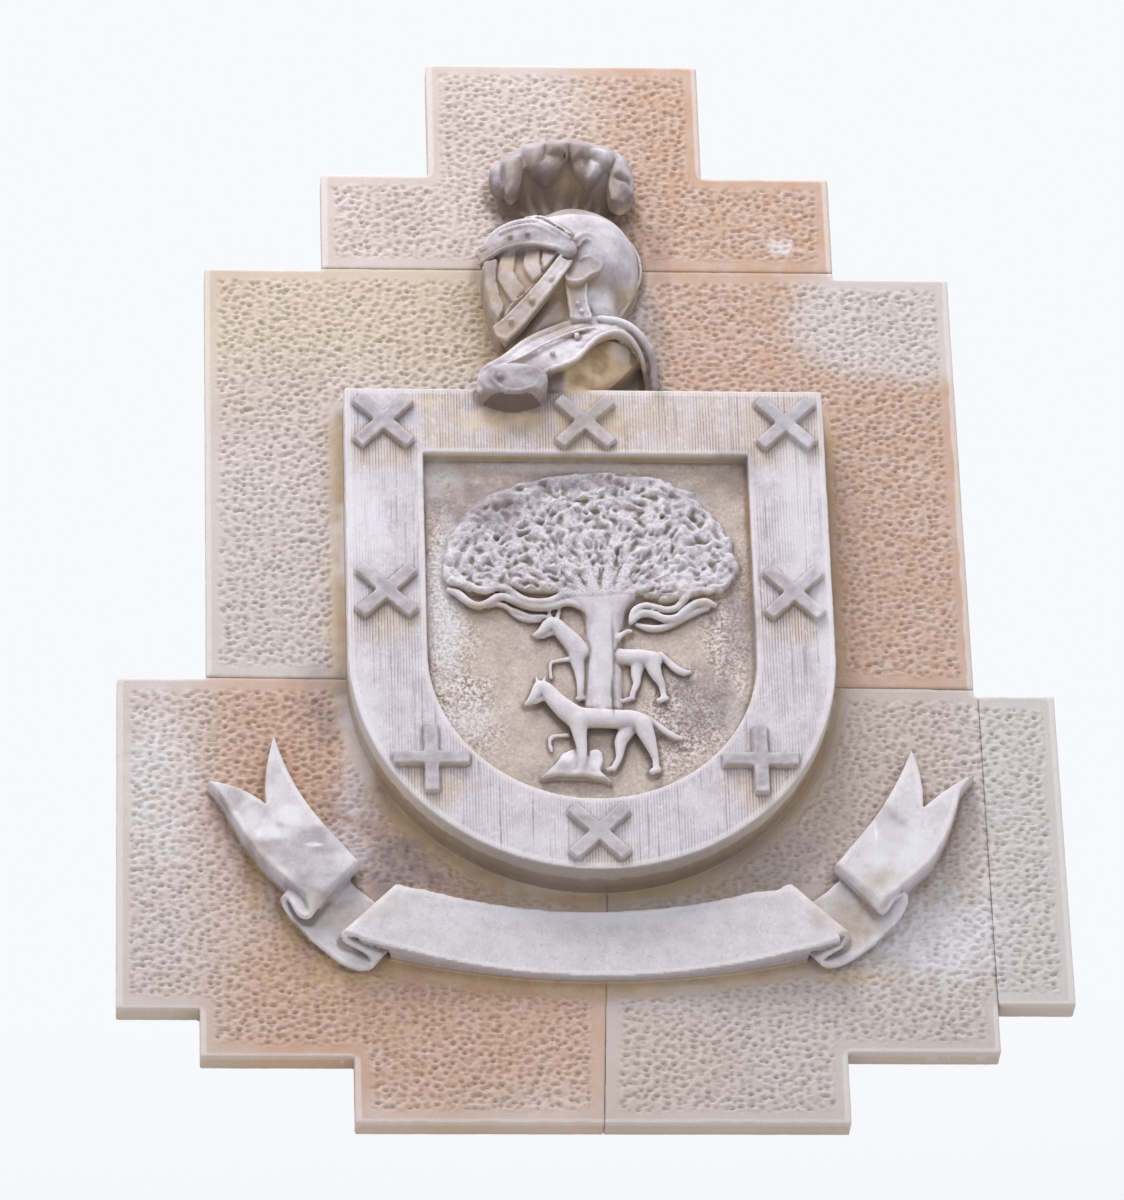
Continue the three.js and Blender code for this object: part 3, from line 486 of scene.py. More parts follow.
# The wavy branches under the leaves
STRANDS = [
    (88, 4.0, [[-0.5, -85], [-14.2, -70.3], [-28.1, -66], [-41.1, -70], [-51.4, -75.1], [-66.8, -77.2],
               [-84.7, -73.8], [-97.2, -65.1], [-107.3, -57.8], [-120, -56.4], [-130.4, -60.9], [-143.1, -59.6],
               [-155.8, -52.3], [-171, -49.4], [-181.2, -48]]),
    (86, 4.2, [[0.6, -94.1], [-13.1, -81], [-28.3, -75.8], [-46.4, -81.2], [-61.8, -84.3], [-77.1, -83],
               [-89.8, -78.6], [-99.9, -72.8], [-110, -68.5], [-120.3, -70], [-130.7, -77.5], [-143.5, -82],
               [-156.2, -76.2], [-168.7, -64.5], [-181.4, -58.7]]),
    (83, 2.9, [[-51.8, -97.8], [-61.9, -95.8], [-77.3, -95.9], [-92.4, -89.3], [-102.6, -85.2], [-110.1, -80],
               [-120.3, -77.7], [-130.6, -83.1]]),
    (82, 2.6, [[-62, -101.7], [-77.3, -101], [-90, -97.5], [-102.6, -89.7]]),
    (88, 3.8, [[50.1, -102.3], [56.2, -89], [69.2, -81.5], [84.5, -84.3], [97.2, -87.2], [110.1, -84.1],
               [120.8, -72.2], [131.5, -60.3], [141.9, -57.3], [152.1, -60.2], [162.6, -54.2]]),
    (87, 4.2, [[50.5, -106.1], [63.8, -93.3], [79.1, -93.2], [94.3, -99.9], [109.7, -98.3], [123, -86.4],
               [136.1, -76.9], [149, -75], [159.9, -79.6]]),
    (83, 3.8, [[58.5, -106.7], [73.7, -111.6], [89, -111.5], [104.6, -105.5], [123, -94.4], [138.7, -85.5],
               [151.6, -82.4]]),
]
for p, radius, line in STRANDS:
    ends = (0, len(line) - 1)
    add(tube([[x, z, p, 1.22 * radius * (0.6 if i in ends else 1)] for i, (x, z) in enumerate(line)], 1.1), 0.7)

# The mound under the wolves
MOUND = [[-73.3, -333.2], [-63.5, -324.5], [-50.4, -310.9], [-41.2, -295.6], [-32.1, -289.8], [-23.2, -287.2],
         [-19.7, -297.8], [-17, -306.4], [-10.2, -299.2], [-6.9, -291.4], [2.1, -288.4], [8.8, -293.3], [9.4, -306.3],
         [5.4, -320.7], [14.6, -332.1], [22.4, -340.1], [10.8, -333.6], [-13.1, -330], [-45.9, -329]]
add(block(MOUND, lambda x, z: 93 - 0.12 * (z + 340) + 2.5 * noise(x, z, 18, 61), edge=5.0), 1.5)

# The helmet
SKULL = curve([(-121, 450), (-112, 474), (-90, 497), (-54, 522), (-14, 538), (24, 533), (57, 514), (79, 482),
               (84, 448), (79, 415), (65, 390), (44, 372), (0, 366), (-40, 366), (-78, 344), (-104, 330), (-115, 356),
               (-122, 400)], 6, closed=True)
NECK = curve([(-98, 318), (-60, 400), (0, 420), (58, 400), (60, 372), (52, 338), (0, 322), (-60, 300), (-90, 296)], 6,
             closed=True)
add(dome(SKULL, 30, 86, 62))
add(dome(NECK, 30, 62, 45), 10)

# The front of the visor: wide bent bars with shallow strips between them
BEND = [[-115.7, 404.4], [-96.4, 411.3], [-61.5, 413.1], [-42.2, 416.3]]


def visor_front(x, z):
    below = z - np.interp(x, [b[0] for b in BEND], [b[1] for b in BEND])
    return 95.5 + 0.3 * (x + 118) - 0.13 * (np.sqrt(below ** 2 + 6) - 2.4) - 0.06 * np.maximum(-below, 0)


OPENING = [[-126.2, 434.5], [-106.1, 436.4], [-77.5, 445.6], [-51.6, 446.1], [-28.6, 436], [-26.3, 425.1],
           [-42.3, 409.2], [-71.4, 383.9], [-92.4, 365.9], [-107.6, 348.5], [-115.4, 365.1], [-122, 394.2],
           [-125.8, 416.4]]
add(block(OPENING, lambda x, z: visor_front(x, z) - 6.0, edge=1.5), 1)
cut(block(OPENING, 141, lambda x, z: visor_front(x, z) - 6.0, 1.5), 1)
for outline in [[[-124.7, 436.9], [-106.2, 440.3], [-108.2, 421.6], [-108.9, 404.5], [-105, 384.4], [-99.1, 365.9],
                 [-107.4, 350.4], [-115.9, 365.8], [-122.5, 396.6]],
                [[-100.2, 449.5], [-81.3, 449.7], [-83.9, 431], [-86, 412.3], [-79, 398.5], [-71.5, 385.9],
                 [-88.1, 370.8], [-98.1, 387.4], [-106.6, 404.7], [-105.1, 424.5]],
                [[-70.9, 446.2], [-51.4, 447.4], [-52, 426.2], [-51.8, 416.3], [-49.5, 403.9], [-61.7, 395.7],
                 [-69.7, 410.5], [-73.7, 420.4]],
                [[-47.8, 441.1], [-27.5, 434.5], [-42.2, 415.7], [-48.1, 409.4], [-49.8, 425.5]]]:
    add(block(outline, visor_front, edge=1.0), 0.4)

# The brow band, its rims and its rivets
BROW_LOW = [[-128, 444, 72], [-117, 443, 88], [-101, 447, 102], [-78, 448, 113], [-55, 446, 119], [-37, 439, 124],
            [-22, 432, 127]]
BROW_TOP = [[-127, 456, 68], [-121, 472, 78], [-111, 482, 88], [-96, 488, 98], [-79, 489, 108], [-56, 486, 116],
            [-30, 466, 124], [-14, 452, 127]]
add(plate(BROW_LOW, BROW_TOP, 18, bulge=1.0))
rolled_edge(BROW_LOW, 3.4, 1, dz=1)
rolled_edge(BROW_TOP, 3.2, 1, dz=-1)
add(tube([[-103, 478, 97, 2], [-79, 480, 110, 2], [-54, 476, 118, 2.2], [-30, 455, 125, 2.6]]), 0.8)
add(tube([[-70, 494, 108, 2], [-48, 490, 117, 2.2], [-28, 474, 122, 2.4], [-12, 460, 124, 2]]), 0.8)
rivets((3.8, 3.8, 4.0), (-90, 466, 107), (-68, 465, 116))

# The ear plate of two lobes, and the boss on which the brow turns
EAR = curve([(-20, 396), (-19, 425), (-12, 448), (-3, 462), (8, 468), (20, 463), (26, 452), (22, 441), (28, 432),
             (29, 416), (23, 406), (12, 401), (4, 393), (-10, 390)], 5, closed=True)


def ear_front(x, z):
    return 116.5 - 0.002 * (x - 5) ** 2 - 0.06 * (x + 10)


add(block(EAR, ear_front, 86, 2.5))
add(tube([[x + (4 - x) * 0.06, z + (430 - z) * 0.05, ear_front(x, z) + 0.6, 2.2] for x, z in EAR[::3]], steps=3), 0.8)
add(tube([[-2, 444, 117.5, 2.2], [5, 454, 117.5, 2.2], [15, 455, 116, 2.2], [19, 447, 115, 2]]), 0.8)
add(tube([[0, 424, 117.5, 2.0], [12, 430, 116.5, 2.2], [20, 424, 115, 2.0]]), 0.8)
add(ball((-17, 438, 121), (14.0, 14.0, 9.0)), 0.8)
cut(ball((-17, 438, 132.5), (8.0, 8.0, 4.5)), 1)
add(ball((-17, 438, 127.5), (3.6, 3.6, 3.0)), 0.5)

# The chin strap and the neck strap
CHIN_LOW = [[-98, 312, 97], [-80, 326, 106], [-54, 358, 115], [-33, 386, 120], [-12, 416, 124]]
CHIN_TOP = [[-113, 334, 94], [-95, 346, 103], [-67, 374, 113], [-43, 403, 119], [-26, 425, 124]]
add(plate(CHIN_LOW, CHIN_TOP, 24, bulge=2.0))
rolled_edge(CHIN_LOW, 2.6, 0.8, dz=1)
rolled_edge(CHIN_TOP, 2.6, 0.8, dz=-1)
add(tube([[-97, 313, 96, 3.2], [-108, 320, 94, 3.2], [-112, 333, 93, 3]]), 0.8)
rivets((3.8, 3.8, 4.2), (-39, 393, 122), (-65, 362, 117), (-92, 336, 106))
NECK_STRAP = [(-20, 396), (9, 396), (6, 372), (13, 345), (-14, 344), (-17, 372)]
add(block(NECK_STRAP, lambda x, z: 99 + 0.16 * (z - 350), 70, 2.0), 0.8)
add(tube([[-19, 396, 107, 2.2], [-15, 372, 103, 2.2], [-12, 346, 99, 2.4]]), 0.6)
add(tube([[8, 396, 107, 2.2], [7, 372, 103, 2.2], [13, 346, 99, 2.4]]), 0.6)
rivets((3.2, 3.2, 3.6), (-4, 366, 103), (1, 354, 103))

# The rolled rim round the back of the skull
add(tube([[71.8, 496.7, 46, 3], [78.2, 479.8, 48, 4.2], [82.8, 459.5, 48, 4.6], [81, 437.6, 48, 4.6],
          [72.2, 414.4, 50, 4.4], [61.6, 391.5, 54, 4.2], [54.8, 373.7, 60, 3.5]]), 1.2)
add(tube([[71.2, 429.8, 60, 2.2], [62.8, 411.3, 62, 2.4], [53.7, 391.6, 66, 2.4], [47.6, 373.5, 70, 2.2]]))


# The breast under the collar, hollowed from below
BREAST = polygon([(-64, 232), (-66, 250), (-50, 266), (-12, 300), (28, 326), (64, 326), (82, 306), (93, 276),
                  (94, 232)])


def scoop(x, z):
    return 108 - 0.38 * (x + 50) + 4 * np.sin((x - 0.5 * z) / 11) * ramp(x, -30, 0)


def breast(x, z, p):
    dark = ramp(x - 1.05 * (z - 236) + 2, 8, 20)
    high = scoop(x, z) * (1 - dark) + 36 * dark
    return smooth_min(BREAST(x, z), (high - p) * 0.8, 3)


add(within((-72, 100, 226, 340, 0, 130), breast), 2)

# The collar: its end in front, its broad plate and its rolled edges
END = curve([(-137, 229), (-134, 242), (-118, 252), (-92, 256), (-62, 252), (-50, 242), (-49, 229), (-64, 216),
             (-94, 209), (-123, 216)], 5, closed=True)
END_FLAT = polygon(END)


def end_drum(x, z, p):
    flare = 10 * np.clip((129 - p) / 30, 0, 1)
    high = 131 - 0.0009 * (x + 90) ** 2 + 0.04 * (z - 225)
    return smooth_min(smooth_min(END_FLAT(x, z + flare), high - p, 3.5), p - 60, 2)


add(within((-142, -44, 180, 262, 55, 137), end_drum), 1)


def on_helmet(points):
    return [[-20 + a * 204, 425 + u * 200, 32 + o * 84] for a, u, o in points]


COLLAR_LOW = on_helmet([(-0.53, -1, 1.12), (-0.44, -1.05, 1.16), (-0.33, -1.07, 1.18), (-0.22, -1.02, 1.16),
                        (-0.15, -0.9, 1.1), (0.04, -0.78, 1), (0.2, -0.58, 0.9), (0.36, -0.51, 0.78),
                        (0.48, -0.6, 0.5), (0.53, -0.78, 0.12)])
COLLAR_TOP = on_helmet([(-0.57, -1.02, 1.06), (-0.55, -0.86, 1), (-0.4, -0.72, 0.9), (-0.26, -0.57, 0.8),
                        (-0.1, -0.46, 0.72), (0.08, -0.38, 0.66), (0.34, -0.36, 0.58), (0.52, -0.46, 0.34),
                        (0.58, -0.72, 0.1)])
add(plate(COLLAR_LOW, COLLAR_TOP, 17, 2.5, bulge=2.5), 1)
rolled_edge(COLLAR_TOP, 4.5, 1.2, 1, -3, 1)
rolled_edge(COLLAR_LOW, 3.2, 1.2, dz=2)
cut(tube([[-112, 258, 129, 1.5], [-84, 276, 122, 1.6], [-55, 300, 114, 1.6], [-28, 318, 107, 1.6],
          [-1, 331, 103, 1]], 2.0), 1.2)
add(tube([[-108, 254, 128, 2], [-80, 271, 122, 2.2], [-50, 295, 115, 2.2], [-24, 312, 109, 2.2], [2, 325, 104, 2.2],
          [22, 330, 100, 1.6]]), 1)
add(tube([[25.2, 347, 96, 4], [53, 345, 90, 5.4], [73, 335, 82, 5.8], [89, 318, 70, 6], [96, 299.4, 56, 6.2],
          [96, 274.6, 44, 6.6]]), 2)
add(tube([[-108, 252, 126, 3.5], [-118, 240, 130, 3], [-119, 228, 131, 3], [-108, 218, 132, 3]]), 1)
rivets((4.2, 4.2, 3.4), (-110, 235, 132.5), (-72, 242, 130), (-40, 280, 119), (-7, 312, 109))

# The fan under the plume, with its ribs, and the drooping feathers
FAN = polygon(curve([(-94, 548), (-100, 582), (-70, 612), (-30, 622), (10, 622), (44, 606), (68, 574), (60, 542),
                     (40, 530), (0, 536), (-40, 540), (-80, 545)], 6, closed=True))


def fan(x, z, p):
    r = np.hypot((x + 19) / 1.15, z - 524)
    turn = np.arctan2(x + 19, z - 500)
    ribs = 2.2 * np.cos(turn * 22 + 2 * noise(x, z, 40, 52)) * ramp(r, 10, 24)
    high = 34 + 44 * ramp(r, 14, 88) * (0.3 + 0.7 * ramp(z, 545, 585)) + ribs
    return smooth_min(FAN(x, z), (high - p) * 0.7, 2)


add(within((-118, 82, 524, 628, 0, 110), fan), 2)
PLUME = [[-112.5, 588.1], [-104, 598.7], [-93.9, 604.7], [-80.5, 612.2], [-68, 626.2], [-51.3, 630.6], [-35.7, 632.9],
         [-20.1, 634.7], [-4, 635.5], [8.6, 633.5], [19.6, 629.4], [39.4, 625.5], [55.1, 617.2], [68, 607.3],
         [76.3, 588.4], [78.4, 567.4], [77.2, 548.9], [61.2, 533.8], [47.3, 540.2], [43.5, 561.1], [46.8, 580.1],
         [42.8, 593.3], [34.1, 582.6], [18.3, 571.9], [7.1, 581.7], [-1.4, 594], [-5.4, 607.2], [-21.1, 586.6],
         [-36.8, 575.9], [-50.3, 582.8], [-61.2, 588.7], [-68.4, 586], [-72.4, 567.5], [-81.7, 549], [-92.5, 555.2],
         [-103.9, 559.3], [-110.7, 568.9]]
add(block(PLUME, 86, 58, edge=5.0), 2)
LOBES = [
    (92, [[-113.1, 586.1], [-103.1, 596.8], [-93.8, 600.1], [-90.4, 576.4], [-93.2, 552.2], [-104.1, 556.2],
          [-111.4, 566.1]]),
    (98, [[-96, 595.5], [-85.7, 603.3], [-69.6, 608], [-68.6, 580.6], [-72.2, 561.1], [-81.9, 542.6], [-92.8, 548.2],
          [-95.7, 572.4]]),
    (96, [[-69, 621], [-51.8, 626.2], [-35.4, 628.6], [-34.6, 607.4], [-42.7, 587.5], [-53, 580], [-62.6, 585.7],
          [-68.5, 597.7]]),
    (92, [[-60.1, 588.9], [-47.7, 604.3], [-36.4, 615.3], [-21, 611], [-7.4, 606.5], [-20.9, 584.1], [-37.1, 573.4],
          [-51, 580.1]]),
    (102, [[-37.6, 624.3], [-21.2, 626.6], [-5.5, 626.3], [-6, 610.4], [-9, 598.8], [-21.9, 600.7], [-37.3, 603.7]]),
    (102, [[-3.9, 626.3], [16.3, 623.1], [21.6, 616.1], [19.2, 601.8], [6.7, 596.3], [-4.7, 599.9]]),
    (93, [[-5, 607.4], [7.5, 606], [18.1, 604.5], [18.8, 568.7], [6.7, 578], [-2.7, 590.6]]),
    (100, [[17.6, 618.4], [38.4, 618.7], [55.2, 609.4], [52.1, 590.3], [38.3, 585.4], [24.5, 597.4], [17.2, 603.6]]),
    (93, [[15.9, 604.5], [27.4, 603.1], [39.9, 593.2], [34.6, 578.9], [17.9, 568.2], [13.2, 587.6]]),
    (97, [[54.1, 605], [67.7, 601.5], [77.3, 577.9], [73.5, 563.1], [59.5, 567.7], [47.4, 573.8], [46.8, 590.7]]),
    (90, [[44.1, 580], [59.9, 575.9], [74.9, 570.3], [77.9, 548.3], [61.1, 532.3], [46.3, 539], [42.6, 561]]),
]
for p, outline in LOBES:
    add(dome(curve(outline, 4, closed=True), p - 21, 22, 18, 0.0, p - 34), 0.8)
cut(tube([[-14.4, 616, 70, 1.0], [-14.0, 590, 110, 1.4], [-14.2, 566, 104, 1.0]], 6.0, 3), 0.8)

# The ribbon: its band, the folds behind its ends and its tails
RIBBON_R = 1110.0
RIBBON_Z = -593 + RIBBON_R
RIBBON_END = math.radians(15.64)
WIDTH = math.radians(130)
END_X, END_Z = 299.3, -548.0
RIBBON_WIDE = 94.0
RIBBON_RISE = 42.0


def band_height(x, z):
    turn = np.abs(np.arctan2(x, RIBBON_Z - z))
    return GROUND + 18 + 24 * (turn / RIBBON_END) ** 2


def band(x, z, p):
    r = np.hypot(x, z - RIBBON_Z)
    before_end = -(np.abs(x) - END_X) * math.sin(WIDTH) + (z - END_Z) * math.cos(WIDTH)
    flat = np.minimum(np.minimum(r - RIBBON_R + 91.5 + 0.02 * np.maximum(x, -60), RIBBON_R - r), before_end)
    high = band_height(x, z) + 1.0 * noise(x, z, 60, 71) * ramp(before_end, 0, 60)
    low = (high - 9.2) * (1 - ramp(before_end, 33, 42)) - 5
    return smooth_min(smooth_min(flat + 0.3 * noise(x, z, 8, 72), high - p, 2.0), p - low, 1.2)


add(within((-305, 305, -640, -480, 0, 90), band), 2)


def beside_band(side, out, up, rise):
    return [side * (END_X + out * RIBBON_WIDE), END_Z + up * RIBBON_WIDE, GROUND + rise * RIBBON_RISE]


# The lower edge of each fold, as (x, z, how far out)
LEFT_FOLDS = [(-286.8, -552.6, 0.88), (-307.4, -545, 0.89), (-316.8, -542.6, 0.86), (-320.2, -546.1, 0.77),
              (-316.7, -549.6, 0.68), (-307, -554, 0.6), (-294.5, -559.5, 0.52), (-286.1, -565.3, 0.44),
              (-283.5, -569.7, 0.36), (-286, -575, 0.28), (-292.2, -577.8, 0.24), (-301.1, -578, 0.22),
              (-312.2, -573.8, 0.22), (-324.5, -567.7, 0.22), (-344.4, -550.1, 0.23), (-360.8, -535.6, 0.26),
              (-374.7, -519.4, 0.32), (-382.9, -510.5, 0.38), (-389.9, -501.1, 0.45), (-393.8, -493.4, 0.52),
              (-393.5, -489.6, 0.6), (-389.3, -488.8, 0.67), (-384.6, -494.6, 0.72), (-379.9, -505.2, 0.74),
              (-374.5, -513.7, 0.74), (-369, -517, 0.75), (-364.2, -517.2, 0.79), (-361, -512.2, 0.85),
              (-361.6, -504.7, 0.9), (-364.2, -497.6, 0.93)]
RIGHT_FOLDS = [(274.2, -556, 0.88), (291.4, -546.3, 0.89), (303, -540.2, 0.86), (309.4, -542, 0.77),
               (306.8, -549, 0.66), (297.9, -555.1, 0.58), (286.8, -560.6, 0.5), (279.6, -564.2, 0.42),
               (278.1, -567.7, 0.34), (283, -571.2, 0.27), (292.9, -571.6, 0.23), (307.1, -567, 0.22),
               (324.5, -556.5, 0.22), (344.6, -540.9, 0.25), (362, -525.3, 0.33), (376.4, -509, 0.42),
               (384.5, -495.4, 0.52), (386.7, -486.1, 0.6), (381, -481.3, 0.67), (372.9, -485.7, 0.72),
               (365.9, -495.6, 0.74), (360.6, -504.3, 0.75), (355.3, -508.2, 0.78), (351.8, -506, 0.85),
               (353.7, -499.6, 0.92), (356.6, -494, 0.95)]


def folds(side, stations, turn, last):
    """The roll up to the station turn, the layer that returns, and from the station last on its end."""
    low = np.array([(x, z, GROUND + rise * RIBBON_RISE) for x, z, rise in stations])
    high = low.copy()
    for i, (x, z, rise) in enumerate(stations):
        wide, hang = (0.97, 0.02) if i < turn else (0.87, 0.08) if i < last else (0.72, 0.0)
        fall = 0.12 if i < turn else 0.17 * ramp(rise, 0.66, 0.85)
        lean = WIDTH + (0.09 if i < turn else 0 if i < turn + 10 else -0.1)
        high[i] += (side * wide * RIBBON_WIDE * math.cos(lean), (wide * math.sin(lean) + hang) * RIBBON_WIDE,
                    -fall * RIBBON_RISE)
        if i < 2:
            for row in (low, high):
                row[i, 2] = band_height(row[i, 0], row[i, 1]) - 5.2
    # the returning layer is solid down to the wall, and so is the roll before it, behind its edge
    back = turn + 10
    add(block(np.concatenate([low[turn:back], high[turn:back][::-1]]),
              surface(np.concatenate([low[turn:back] * s + high[turn:back] * (1 - s)
                                      for s in (0, 0.25, 0.5, 0.75, 1)])), edge=1.0), 2)
    inner = low + 0.13 * (high - low)
    add(block(np.concatenate([inner[4:turn + 1], high[4:turn + 1][::-1]]),
              surface(np.concatenate([inner[4:turn], high[4:turn]])), edge=1.5), 1.5)
    low, high = curve(low, 6), curve(high, 6)
    shares = np.linspace(0, 1, 36)[:, None, None]
    points = low[None] + (high - low)[None] * shares
    along = np.gradient(points, axis=1)
    across = np.gradient(points, axis=0)
    normal = np.cross(along, across)
    normal /= np.linalg.norm(normal, axis=2, keepdims=True) + 1e-9
    points, normal = points.reshape(-1, 3).astype(np.float32), normal.reshape(-1, 3)
    box = box_round(points, 8, points[:, 2].min() - 8, points[:, 2].max() + 8)

    def value(x, z, p):
        x, z, p = np.broadcast_arrays(x, z, p)
        place = np.stack([x.ravel(), z.ravel(), p.ravel()], 1).astype(np.float32)
        out = np.empty(len(place))
        square = (points ** 2).sum(1)
        for start in range(0, len(place), 20000):
            q = place[start:start + 20000]
            d = square[None] - 2 * q @ points.T
            near = d.argmin(1)
            gap = q - points[near]
            off = np.abs((gap * normal[near]).sum(1))
            along_gap = np.sqrt(np.maximum((gap ** 2).sum(1) - off ** 2, 0))
            out[start:start + 20000] = np.minimum(4.4 - off, 3.0 - along_gap)
        return out.reshape(x.shape)
    return box, value


add(folds(-1, LEFT_FOLDS, 9, 20))
add(folds(1, RIGHT_FOLDS, 9, 17))


def tail(side, foot, outer, inner):
    def at(point):
        return np.array(beside_band(side, point[0], point[1], 0)[:2])
    line = [np.array(foot)]

    def bend(control, end):
        a, b, c = line[-1], at(control), at(end)
        for t in np.linspace(0, 1, 9)[1:]:
            line.append((1 - t) ** 2 * a + 2 * t * (1 - t) * b + t * t * c)
    bend([0.9, 0.77], [1.28, 1.15])
    bend([1.6, 1.6], [outer[0] - 0.23, outer[1] - 0.28])
    bend([outer[0] - 0.11, outer[1] - 0.09], outer)
    bend([1.57, 2.36], [1.23, 2])
    bend([1.29, 2.47], inner)
    bend([0.98, 2.55], [0.71, 2.07])
    bend([0.47, 1.66], [0.03, 1.15])
    start = line[0][1] - 17
    reach = inner[1] * RIBBON_WIDE
    end = line[-1] - line[0]
    long = np.hypot(*end)
    in_x, in_z = np.array([end[1], -end[0]]) * side / long
    ahead = np.array([in_x, in_z]) * 9
    inside = polygon(line + [line[-1] - ahead, line[0] - ahead])
    pts = np.array(line)
    box = box_round(pts, 13, 0, 100)

    def value(x, z, p):
        share = (z - start) / reach
        high = GROUND + RIBBON_RISE + 4 - 20 * share + 3.0 * np.sin(share * 7) * share + 1.0 * noise(x, z, 50, 77)
        run = (x - line[0][0]) * in_x + (z - line[0][1]) * in_z
        up = ((x - line[0][0]) * end[0] + (z - line[0][1]) * end[1]) / long
        barrel = 9 * np.sqrt(np.maximum(1 - ((p - 58) / 22) ** 2, 0)) - 3
        low = (high - 9.5) * (1 - ramp(run, 20, 36)) * (1 - ramp(up, 8, 12)) - 5
        flat = smooth_min(inside(x, z), run + barrel, 3)
        return smooth_min(smooth_min(flat, high - p, 2.5 + 5 * (1 - ramp(run, 8, 30))), p - low, 2)
    return box, value


add(tail(-1, [-361, -503], [2.03, 2.38], [1.12, 3.11]), 4)
add(tail(1, [356, -499], [1.99, 2.57], [1.13, 2.93]), 4)


# Surfaces out of blocks of values

def surface_of(value, axes):
    cells = tuple(n - 1 for n in value.shape)
    size = cells[0] * cells[1] * cells[2]
    inside = value > 0
    flats, places, quads = [], [], []
    for axis in range(3):
        low = tuple(slice(0, -1) if i == axis else slice(None) for i in range(3))
        high = tuple(slice(1, None) if i == axis else slice(None) for i in range(3))
        index = np.argwhere(inside[low] != inside[high])
        v0 = value[low][tuple(index.T)].astype(float)
        v1 = value[high][tuple(index.T)].astype(float)
        place = np.stack([axes[i][index[:, i]] for i in range(3)], 1)
        place[:, axis] += v0 / (v0 - v1) * (axes[axis][index[:, axis] + 1] - axes[axis][index[:, axis]])
        one, two = (axis + 1) % 3, (axis + 2) % 3
        around = []
        whole = np.ones(len(index), bool)
        for a, b in ((1, 1), (0, 1), (0, 0), (1, 0)):
            cell = index.copy()
            cell[:, one] -= a
            cell[:, two] -= b
            ok = ((cell >= 0) & (cell < cells)).all(1)
            whole &= ok
            flat = (cell[:, 0] * cells[1] + cell[:, 1]) * cells[2] + cell[:, 2]
            flats.append(flat[ok])
            places.append(place[ok])
            around.append(flat)
        quad = np.stack(around, 1)[whole]
        quads.append(np.where((v0[whole] > 0)[:, None], quad, quad[:, ::-1]))
    flats, places, quads = np.concatenate(flats), np.concatenate(places), np.concatenate(quads)
    lookup = np.full(size, -1, np.int32)
    lookup[flats] = 1
    used = np.flatnonzero(lookup > 0)
    lookup[used] = np.arange(len(used))
    ids = lookup[flats]
    count = np.bincount(ids, minlength=len(used))
    points = np.stack([np.bincount(ids, places[:, i], len(used)) / count for i in range(3)], 1)
    return points, lookup[quads]


def normals_of(points, quads):
    a, b, c, d = (points[quads[:, i]] for i in range(4))
    face = np.cross(c - a, d - b)
    out = np.zeros_like(points)
    for i in range(4):
        for k in range(3):
            out[:, k] += np.bincount(quads[:, i], face[:, k], len(points))
    return out / (np.linalg.norm(out, axis=1, keepdims=True) + 1e-9)


def opened(x, z, p):
    return x[:, None, None], z[None, :, None], p[None, None, :]


def carve(name):
    outline = polygon(OUTLINES[name])
    pts = np.array(OUTLINES[name], float)
    axes = [np.arange(math.floor(pts[:, 0].min() / STEP_X) - 4, math.ceil(pts[:, 0].max() / STEP_X) + 5) * STEP_X,
            np.arange(math.floor(pts[:, 1].min() / STEP_Z) - 4, math.ceil(pts[:, 1].max() / STEP_Z) + 5) * STEP_Z,
            DEPTHS]
    x, z, p = opened(*axes)
    parted = ramp(np.hypot(x, (z + 545) * 1.5), 130, 170)
    parted = parted * (1 - 0.7 * (z < -183) * (z > -618) * (1 - ramp(np.abs(x - 499.2), 4, 7)))
    flat = outline(x, z) - parted * (HALF_GAP + 0.12 * noise(x, z, 7, 81) + 0.15 * noise(x, z, 23, 82))
    high = GROUND - 0.4 * np.maximum(1.6 - flat, 0) * parted
    value = np.broadcast_to(high - p, (len(axes[0]), len(axes[1]), len(axes[2]))).astype(np.float32).copy()
    for kind, box, shape, k in work:
        spans = []
        for axis, (low, top) in zip(axes, zip(box[::2], box[1::2])):
            a, b = np.searchsorted(axis, low), np.searchsorted(axis, top)
            spans.append(slice(max(a - 1, 0), min(b + 1, len(axis))))
        if any(s.stop - s.start < 2 for s in spans):
            continue
        window = tuple(spans)
        body = shape(*opened(*(axis[span] for axis, span in zip(axes, spans))))
        if kind == "add":
            value[window] = smooth_max(value[window], body, k)
        else:
            value[window] = smooth_min(value[window], -body, k)
    # the carving was cut after the stones were set, so it runs across the joints
    carved = (value[:, :, np.searchsorted(DEPTHS, 36)] > 0)[:, :, None] & (outline(x, z) > -9)
    value = np.where(carved, value, smooth_min(value, flat, 1.2))
    points, quads = surface_of(value, axes)
    middle = points[quads].mean(1)
    kept = outline(middle[:, 0], middle[:, 1]) > 0
    points = worked(points, normals_of(points, quads))
    normals = normals_of(points, quads)
    used = np.unique(quads[kept])
    order = np.zeros(len(points), np.int64)
    order[used] = np.arange(len(used))
    return points[used], normals[used], order[quads[kept]]


# The pits run on across the right end joint, so its two stones share one margin
MARGINED = [OUTLINES[name] for name in ("crest_stone", "middle_stone", "lower_left_stone")]
MARGINED.append(OUTLINES["lower_right_stone"][:4] + OUTLINES["right_end_stone"][:3]
                + OUTLINES["lower_right_stone"][5:])


